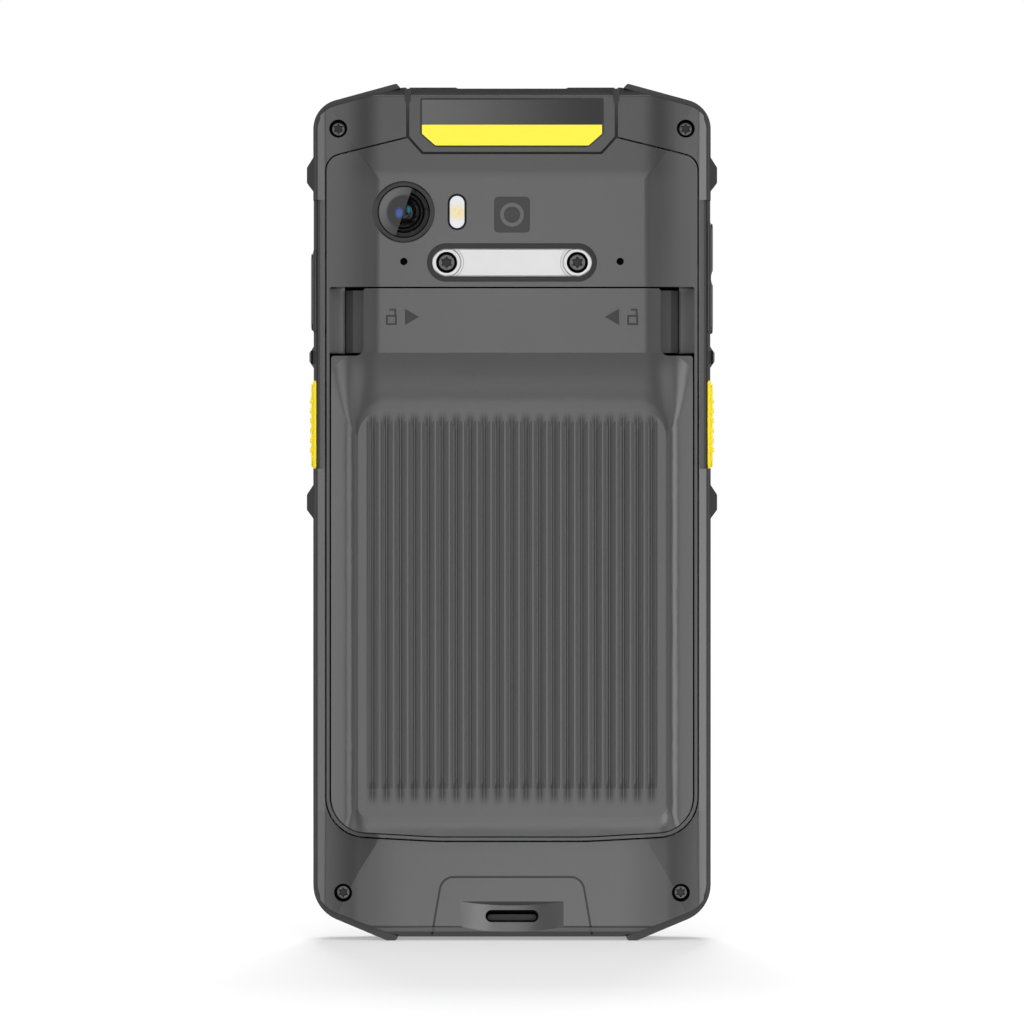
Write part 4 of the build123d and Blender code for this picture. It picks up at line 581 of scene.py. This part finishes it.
def plate_film(name):
    """Film of the name plate: dark field above with a painted reflection across it, yellow field
    below, thin dark border.
    """
    finish = Finish(name, Roughness=0.3, Specular_IOR_Level=0.35)
    low, high = corners(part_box("name_plate"))
    across, along = finish.axis("X"), finish.axis("Z")
    cut_x, cut_z = PLATE_CUT
    corner = (abs(across) - (high[0] - cut_x)) / cut_x - (along - low[2]) / cut_z
    rim = abs(across).over(high[0] - PLATE_LINE).high(corner.over(-PLATE_LINE / cut_z))
    rim = rim.high(along.under(low[2] + PLATE_LINE)).high(along.over(high[2] - PLATE_LINE))
    fine = finish.noise(0.3)
    # Painted reflection: the dark field is lighter at -x and darker at +x.
    painted_reflection_fade = across.fade(low[0] * 1.1, high[0] * 1.1)
    dark = finish.mix(painted_reflection_fade, grey(0.075), grey(0.008))
    yellow = finish.mix(fine, PLATE_YELLOW, PLATE_PALE)
    field = finish.mix(along.over(high[2] - PLATE_DARK), yellow, dark)
    finish.feed(Base_Color=finish.mix(rim, field, grey(0.012)),
                Normal=finish.bump(fine, 0.0008))
    return finish.material


def flash_diffuser(name):
    """Milky lens with fine rings round its centre and the yellow of the lamp behind."""
    finish = Finish(name, Roughness=0.2, Specular_IOR_Level=0.4)
    across, along = finish.about(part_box("flash_lens"))
    reach = across.reach(along)
    rings = (reach * FLASH_RINGS + across * FLASH_LEAN).wave() * 0.5 + 0.5
    patches = finish.noise(0.7).fade(0.3, 0.62)
    glow = (1 - reach.fade(*FLASH_GLOW)) * (0.5 + 0.5 * patches)
    white = finish.mix(rings * 0.5, MILK_WHITE, MILK_SHADE)
    finish.feed(Base_Color=finish.mix(glow, white, LAMP_YELLOW),
                Normal=finish.bump(rings, 0.004))
    return finish.material


FINISHES = {
    "housing_plastic": lambda name: moulded(name, HOUSING, shade=housing_shade),
    "frame_plastic": lambda name: moulded(name, grey(0.03)),
    "bumper_rubber": lambda name: rubber(name, grey(0.022), 0.4, 0.34),
    "key_dark": lambda name: moulded(name, grey(0.022), 0.3),
    "key_yellow": lambda name: moulded(name, KEY_YELLOW, 0.35, 0.3, gloss=0.3, shade=key_stem_shade),
    "plate_print": plate_film,
    "strap_metal": lambda name: metal(name, grey(0.60), 0.4),
    "screw_steel": lambda name: metal(name, grey(0.14), 0.3),
    "spring_steel": lambda name: metal(name, grey(0.6), 0.25),
    "touch_glass": screen_glass,
    "optic_glass": dark_glass,
    "diffuser": flash_diffuser,
    "black_plastic": lambda name: moulded(name, grey(0.006), 0.4, gloss=0.12),
    "display_face": lambda name: moulded(name, (0.014, 0.017, 0.024, 1), 0.2, 0.3, 0.0005),
    "board_green": lambda name: moulded(name, (0.01, 0.09, 0.03, 1), 0.35),
    "tin_plate": lambda name: metal(name, grey(0.42), 0.45),
    "magnesium": lambda name: metal(name, grey(0.4), 0.45, 0.3),
    "flex_amber": lambda name: moulded(name, (0.45, 0.18, 0.02, 1), 0.3),
    "gold_contact": lambda name: metal(name, (0.85, 0.62, 0.24, 1), 0.22),
    "led_yellow": lambda name: moulded(name, (0.95, 0.72, 0.12, 1), 0.4),
    "seal_rubber": lambda name: rubber(name, grey(0.006), 0.6, 0.1),
    "cell_foil": lambda name: metal(name, grey(0.7), 0.3, 0.6),
}
finishes = {slot: make(slot) for slot, make in FINISHES.items()}
special = {
    "rear_panel": moulded("panel_plastic", HOUSING, shade=panel_shade, painted_light=scoop_painted_light),
    "battery_cover": moulded("cover_plastic", HOUSING, shade=cover_shade),
    "left_latch": moulded("latch_plastic", grey(0.044), 0.25, gloss=0.2),
    "camera_ring": moulded("ring_plastic", grey(0.022), 0.36, gloss=0.25),
    "camera_window": camera_glass("camera_glass"),
}
special["right_latch"] = special["left_latch"]
lens_glass = lens_coating("lens_glass")
# Dull black for pieces that stand for shade in the screw wells, the strap slot and the microphone
# holes.
shade_black = ink("shade_black")
seam_grey = moulded("seam_grey", grey(0.035), 0.5, gloss=0.1)
barrel_black = moulded("barrel_black", grey(0.004), 0.25, 0.1, 0.0001, gloss=0.2)
case_screw_steel = screw_steel("case_screw_steel", CASE_SCREW["top"])
strap_screw_steel = screw_steel("strap_screw_steel", STRAP_SCREW["top"])
wear_plate = plate_metal("wear_plate")


def dress(piece, material):
    """Gives a piece one material all over."""
    piece.data.materials.clear()
    piece.data.materials.append(material)


for name, node in nodes.items():
    dress(node, special.get(name, finishes[slot_of[name]]))


# ================================================================ modelling helpers
SMOOTH_ANGLE = math.radians(30)
FACING_REAR = (math.pi / 2, 0, 0)


def pick(kind, test):
    """Selects, in edit mode, the vertices or edges whose middle, in mm, passes the test."""
    bpy.ops.mesh.select_mode(type=kind)
    bpy.ops.mesh.select_all(action="DESELECT")
    bpy.ops.object.mode_set(mode="OBJECT")
    mesh = bpy.context.object.data
    points = mesh.vertices
    if kind == "VERT":
        found = [(item, item.co) for item in points]
    else:
        found = [(item, (points[item.vertices[0]].co + points[item.vertices[1]].co) / 2)
                 for item in mesh.edges]
    place = bpy.context.object.matrix_world
    for item, centre in found:
        item.select = test(place @ centre / MM)
    bpy.ops.object.mode_set(mode="EDIT")


def settle(name):
    """Ends the modelling of the active piece: outward faces, place in its mesh, soft shading."""
    bpy.ops.object.mode_set(mode="EDIT")
    bpy.ops.mesh.select_all(action="SELECT")
    bpy.ops.mesh.remove_doubles(threshold=1e-7)
    bpy.ops.mesh.normals_make_consistent(inside=False)
    bpy.ops.object.mode_set(mode="OBJECT")
    bpy.ops.object.transform_apply(location=True, rotation=True, scale=True)
    bpy.ops.object.shade_smooth_by_angle(angle=SMOOTH_ANGLE)
    piece = bpy.context.object
    piece.name = name
    piece.data.name = name
    return piece


def turned(name, centre, profile, sides=48, filled=True):
    """Lathe-turned piece about a line along Y: profile lists (radius, y), first to last."""
    x, z = centre
    bpy.ops.object.select_all(action="DESELECT")
    radius, y = profile[0]
    bpy.ops.mesh.primitive_circle_add(vertices=sides, radius=radius * MM,
                                      location=metres(x, y, z), rotation=FACING_REAR,
                                      fill_type="NGON" if filled else "NOTHING")
    bpy.ops.object.mode_set(mode="EDIT")
    extrude = bpy.ops.mesh.extrude_region_move if filled else bpy.ops.mesh.extrude_edges_move
    for new_radius, new_y in profile[1:]:
        extrude(TRANSFORM_OT_translate={"value": (0, (new_y - y) * MM, 0)})
        factor = new_radius / radius
        bpy.ops.transform.resize(value=(factor, 1, factor), center_override=metres(x, new_y, z))
        radius, y = new_radius, new_y
    bpy.ops.object.mode_set(mode="OBJECT")
    return settle(name)


def cut(piece, cutter):
    """Takes the cutter's form out of the piece and removes the cutter."""
    bpy.ops.object.select_all(action="DESELECT")
    piece.select_set(True)
    bpy.context.view_layer.objects.active = piece
    modifier = piece.modifiers.new("cut", "BOOLEAN")
    modifier.operation = "DIFFERENCE"
    modifier.solver = "EXACT"
    modifier.object = cutter
    bpy.ops.object.modifier_apply(modifier="cut")
    bpy.data.objects.remove(cutter)
    bpy.ops.object.shade_smooth_by_angle(angle=SMOOTH_ANGLE)


def fit(piece, body, slot, material=None, stands_for=()):
    """Dresses a finished piece and hangs it on its body."""
    dress(piece, material or finishes[slot])
    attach(piece, body)
    if stands_for:
        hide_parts(*stands_for)


def copy_of(piece, name, shift=(0, 0, 0)):
    """A copy with its own mesh, moved by the shift."""
    twin = piece.copy()
    twin.data = piece.data.copy()
    twin.name = name
    twin.data.name = name
    twin.data.transform(Matrix.Translation(shift))
    bpy.context.scene.collection.objects.link(twin)
    return twin


# ================================================================ screws
def star_punch(centre, radius, y):
    """Six-pointed punch with rounded tips, for the drive of a screw."""
    x, z = centre
    bpy.ops.object.select_all(action="DESELECT")
    bpy.ops.mesh.primitive_cylinder_add(vertices=12, radius=radius * MM, depth=2 * STAR_DEEP * MM,
                                        location=metres(x, y, z), rotation=FACING_REAR)
    bpy.ops.object.mode_set(mode="EDIT")

    def in_hollow(point):
        angle = math.degrees(math.atan2(point.x - x, point.z - z))
        return round(angle / 30) % 2 == 1

    pick("VERT", in_hollow)
    bpy.ops.transform.resize(value=(STAR_WAIST, 1, STAR_WAIST), center_override=metres(x, y, z))
    pick("EDGE", lambda point: abs(point.y - y) < STAR_DEEP / 2)
    bpy.ops.mesh.bevel(offset=STAR_ROUND * radius * MM, segments=3, affect="EDGES")
    pick("VERT", lambda point: point.y > y)
    bpy.ops.transform.resize(value=(STAR_TAPER, 1, STAR_TAPER),
                             center_override=metres(x, y + STAR_DEEP, z))
    return settle("star_punch")


def add_screws(name, places, material, stands_for, head, seat, top, shank, tip):
    """Round-headed star screws at each (x, z)."""
    x, z = places[0]
    crown, edge, chamfer = 0.02, 0.12, 0.3
    screw = turned(f"{name}_1", places[0], [
        (shank * 0.7, tip), (shank, tip - chamfer), (shank, seat), (head, seat),
        (head, top + edge), (head - edge * 0.35, top + edge * 0.35), (head - edge, top),
        (head - 2 * edge, top - crown), (head * 0.35, top - crown * 1.2)])
    cut(screw, star_punch(places[0], head * STAR_REACH, top))
    fit(screw, "terminal", "screw_steel", material, stands_for)
    for count, (other_x, other_z) in enumerate(places[1:], 2):
        twin = copy_of(screw, f"{name}_{count}", metres(other_x - x, 0, other_z - z))
        fit(twin, "terminal", "screw_steel", material, stands_for)


def add_rings(name, places, inner, outer, front, back):
    """Black ring round each screw head, at the bottom of its well: a dark piece that stands for the
    shade in the well.
    """
    edge = 0.05
    for count, place in enumerate(places, 1):
        ring = turned(f"{name}_{count}", place, [
            (inner, back), (inner, front + edge), (inner + edge, front), (outer - edge, front),
            (outer, front + edge), (outer, back), (inner, back)], filled=False)
        fit(ring, "terminal", "seal_rubber", shade_black)


add_rings("case_screw_ring", CASE_SCREWS, *CASE_RING)
add_screws("case_screw", CASE_SCREWS, case_screw_steel, ("case_screws",), **CASE_SCREW)
add_screws("strap_screw", STRAP_SCREWS, strap_screw_steel, ("strap_screws",), **STRAP_SCREW)


# ================================================================ strap plate
def add_strap_plate():
    """Blasted metal plate with two fine arcs round the inner side of each screw."""
    plate = copy_of(nodes["strap_plate"], "strap_wear_plate")
    bpy.ops.object.select_all(action="DESELECT")
    plate.select_set(True)
    bpy.context.view_layer.objects.active = plate
    bpy.ops.object.mode_set(mode="EDIT")
    bpy.ops.mesh.select_all(action="SELECT")
    bpy.ops.mesh.remove_doubles(threshold=1e-6)
    bpy.ops.object.mode_set(mode="OBJECT")
    bpy.ops.mesh.customdata_custom_splitnormals_clear()
    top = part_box("strap_plate")[0][1]
    for x, z in STRAP_SCREWS:
        for radius, half_width in (WIDE_ARC, SLIM_ARC):
            bpy.ops.object.select_all(action="DESELECT")
            bpy.ops.mesh.primitive_torus_add(
                major_radius=radius * MM, minor_radius=half_width * MM, major_segments=64,
                minor_segments=8, location=(x * MM, top, z * MM), rotation=FACING_REAR)
            cut(plate, bpy.context.object)
    fit(plate, "terminal", "strap_metal", wear_plate, ("strap_plate",))
    add_rings("strap_screw_ring", STRAP_SCREWS, *STRAP_RING)


# ================================================================ camera, slot, ports and seams
def add_camera_optics():
    """Stepped black barrel and the coated front lens behind the camera window."""
    place = middle(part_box("camera_window"))
    barrel = turned("lens_barrel", place, BARREL_PROFILE)
    fit(barrel, "terminal", "black_plastic", barrel_black, ("camera_module",))
    lens = turned("front_lens", place, LENS_PROFILE)
    fit(lens, "terminal", "optic_glass", lens_glass)


def stadium_block(name, high, size, back, front):
    """Block with round ends, long in X, between two y places."""
    length, height = size
    bpy.ops.object.select_all(action="DESELECT")
    bpy.ops.mesh.primitive_cylinder_add(
        vertices=32, radius=height / 2 * MM, depth=(back - front) * MM,
        location=metres(0, (back + front) / 2, high), rotation=FACING_REAR)
    bpy.ops.object.mode_set(mode="EDIT")
    for side in (-1, 1):
        pick("VERT", lambda point: point.x * side > 0.001)
        bpy.ops.transform.translate(value=(side * (length - height) / 2 * MM, 0, 0))
    return settle(name)


def add_slot_shade_lining():
    """Black lining of the strap slot, a dark piece that stands for the shade inside it, with the
    strap bar across it.
    """
    shade_lining = stadium_block("slot_shade_lining", SLOT_HIGH, SLOT_SIZE, SLOT_DEEP, SLOT_FRONT)
    cut(shade_lining, stadium_block("bore", SLOT_HIGH, SLOT_BORE, SLOT_DEEP - SLOT_FLOOR, BORE_FRONT))
    fit(shade_lining, "terminal", "black_plastic", shade_black)
    bar = stadium_block("slot_bar", BAR_HIGH, BAR_SIZE, SLOT_DEEP, BAR_FRONT)
    bar.data.shade_smooth()
    fit(bar, "terminal", "frame_plastic", seam_grey)


def add_mic_screens():
    """Dark screens a little way down the two microphone holes, made black for the shade down the
    holes.
    """
    for name, side in (("left_mic_screen", -1), ("right_mic_screen", 1)):
        screen = turned(name, (side * MIC_OUT, MIC_HIGH), MIC_PROFILE, 24)
        fit(screen, "terminal", "black_plastic", shade_black)


def add_seam_backing():
    """Grey rib seen at the bottom of the wide seam round the scanner cap."""
    for count, (start, end) in enumerate(zip(SEAM_PATH, SEAM_PATH[1:]), 1):
        run_x, run_z = end[0] - start[0], end[1] - start[1]
        bpy.ops.object.select_all(action="DESELECT")
        bpy.ops.mesh.primitive_cube_add(
            size=MM, location=metres((start[0] + end[0]) / 2, SEAM_LEVEL, (start[1] + end[1]) / 2))
        rib = bpy.context.object
        rib.dimensions = metres(math.hypot(run_x, run_z) + SEAM_LAP, SEAM_THICK, SEAM_WIDE)
        rib.rotation_euler = (0, -math.atan2(run_z, run_x), 0)
        bpy.context.view_layer.update()
        bpy.ops.object.mode_set(mode="EDIT")
        bpy.ops.mesh.select_all(action="SELECT")
        bpy.ops.mesh.bevel(offset=SEAM_EDGE * MM, segments=2, affect="EDGES")
        fit(settle(f"cap_seam_rib_{count}"), "terminal", "frame_plastic", seam_grey)


def add_key_strip(name, key, slot):
    """Thin raised strip beside a side key, on the sloped side of the housing."""
    low, high = corners(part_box(key))
    side = -1 if low[0] < 0 else 1
    (inner_x, inner_y), (outer_x, outer_y) = STRIP_INNER, STRIP_OUTER
    lean = math.atan2(outer_y - inner_y, outer_x - inner_x)
    width = math.hypot(outer_x - inner_x, outer_y - inner_y)
    centre_z = (low[2] + high[2]) / 2
    stretch = (high[2] - low[2] - width) / 2
    bpy.ops.object.select_all(action="DESELECT")
    bpy.ops.mesh.primitive_cylinder_add(
        vertices=32, radius=width / 2 * MM, depth=STRIP_THICK * MM,
        location=metres(side * (inner_x + outer_x) / 2, (inner_y + outer_y) / 2, centre_z),
        rotation=(math.pi / 2, 0, side * lean))
    bpy.ops.object.mode_set(mode="EDIT")
    for way in (-1, 1):
        pick("VERT", lambda point: (point.z - centre_z) * way > 0.001)
        bpy.ops.transform.translate(value=(0, 0, way * stretch * MM))
    bpy.ops.object.mode_set(mode="OBJECT")
    rounded = bpy.context.object.modifiers.new("rounded", "BEVEL")
    rounded.width = STRIP_EDGE * MM
    rounded.segments = 3
    rounded.limit_method = "ANGLE"
    bpy.ops.object.modifier_apply(modifier="rounded")
    fit(settle(name), "terminal", slot)


add_strap_plate()
add_camera_optics()
add_slot_shade_lining()
add_mic_screens()
add_seam_backing()
add_key_strip("left_scan_surround", "left_scan_key", "key_yellow")
add_key_strip("right_scan_surround", "right_scan_key", "key_yellow")
add_key_strip("power_surround", "power_key", "key_dark")
add_key_strip("volume_surround", "volume_rocker", "key_dark")


# ================================================================ camera, light and floor
LENS, SENSOR = 200.0, 36.0
FRAME_HIGH, EYE_HIGH, REAR = 188.4, 79.0, -6.5
CENTRE = Vector(metres(0, 0, EYE_HIGH))
AMBIENT = 0.25
FLOOR_RADIUS, FLOOR_GLOW, FLOOR_FADE = 0.8, 0.34, (150, 750)

# Name, azimuth and elevation in degrees, distance, width and height in metres, radiance.
SOFT_BOXES = [
    ("front_box", 0, -2.7, 1.5, 0.26, 0.91, 2.62),
    ("top_box", 0, 21.7, 1.615, 0.40, 0.30, 1.6),
    ("upper_box", 0, 32.2, 1.773, 0.50, 0.30, 0.85),
    ("sill_box", 0, -23, 1.63, 0.50, 0.35, 1.6),
    ("inner_box", 24, 0, 1.6, 0.40, 2.0, 1.7),
    ("outer_box", 45, 0, 1.6, 0.40, 2.0, 4.0),
    ("side_box", 76, 0, 1.6, 1.10, 2.0, 1.8),
    ("inner_box", -24, 0, 1.6, 0.40, 2.0, 1.6),
    ("outer_box", -45, 0, 1.6, 0.40, 2.0, 2.6),
    ("side_box", -76, 0, 1.6, 1.10, 2.0, 2.0),
    ("chin_box", 11.3, -12.1, 1.56, 0.21, 0.30, 6.0),
    ("low_box", 0, -77, 1.6, 1.0, 0.4, 1.8),
    ("over_box", 0, 55, 1.6, 1.2, 0.6, 3.0),
    ("high_box", 180, 75, 1.5, 1.4, 1.0, 0.6),
    ("back_box", 180, 50, 1.5, 0.5, 0.5, 20.0),
    ("glass_box", 168, 8, 1.6, 0.5, 1.6, 1.2),
]


def add_camera():
    data = bpy.data.cameras.new("camera")
    data.lens = LENS
    data.sensor_width = SENSOR
    data.clip_end = 50.0
    camera = bpy.data.objects.new("camera", data)
    bpy.context.scene.collection.objects.link(camera)
    camera.location = metres(0, REAR - FRAME_HIGH * LENS / SENSOR, EYE_HIGH)
    camera.rotation_euler = (math.pi / 2, 0, 0)
    bpy.context.scene.camera = camera


def add_softbox(name, azimuth, elevation, distance, width, height, radiance):
    """Soft box seen from the middle of the rear at an azimuth to the right and an elevation."""
    data = bpy.data.lights.new(name, "AREA")
    data.shape = "RECTANGLE"
    data.size = width
    data.size_y = height
    data.energy = radiance * math.pi * width * height
    light = bpy.data.objects.new(name, data)
    bpy.context.scene.collection.objects.link(light)
    turn, rise = math.radians(azimuth), math.radians(elevation)
    away = Vector((math.sin(turn) * math.cos(rise), -math.cos(turn) * math.cos(rise),
                   math.sin(rise)))
    light.location = CENTRE + distance * away
    light.rotation_euler = (CENTRE - light.location).to_track_quat("-Z", "Y").to_euler()


def add_floor():
    """Pale round floor that fades out and takes the shadow, and that no glossy piece mirrors."""
    bpy.ops.object.select_all(action="DESELECT")
    bpy.ops.mesh.primitive_circle_add(vertices=96, radius=FLOOR_RADIUS, fill_type="NGON")
    floor = bpy.context.object
    floor.name = "floor"
    floor.visible_glossy = False
    floor.visible_shadow = False
    floor.visible_diffuse = False
    finish = Finish("pale_floor", Roughness=0.9, Specular_IOR_Level=0.0,
                    Emission_Strength=FLOOR_GLOW)
    reach = finish.axis("X").reach(finish.axis("Y"))
    broad = finish.noise(400)
    finish.feed(Base_Color=finish.mix(broad, grey(0.58), grey(0.60)),
                Emission_Color=finish.mix(broad, grey(0.98), grey(1.0)),
                Alpha=1 - reach.fade(*FLOOR_FADE))
    dress(floor, finish.material)


def add_world():
    """White to the eye, dim to everything else, so that the soft boxes shape the form."""
    world = bpy.data.worlds.new("studio")
    world.use_nodes = True
    tree = world.node_tree
    sky = tree.nodes["Background"]
    sky.inputs["Color"].default_value = (1, 1, 1, 1)
    path = tree.nodes.new("ShaderNodeLightPath")
    level = tree.nodes.new("ShaderNodeMapRange")
    level.inputs["To Min"].default_value = AMBIENT
    level.inputs["To Max"].default_value = 1.0
    tree.links.new(path.outputs["Is Camera Ray"], level.inputs["Value"])
    tree.links.new(level.outputs["Result"], sky.inputs["Strength"])
    bpy.context.scene.world = world


add_camera()
add_floor()
add_world()
for row in SOFT_BOXES:
    add_softbox(*row)
bpy.context.scene.view_settings.view_transform = "Standard"
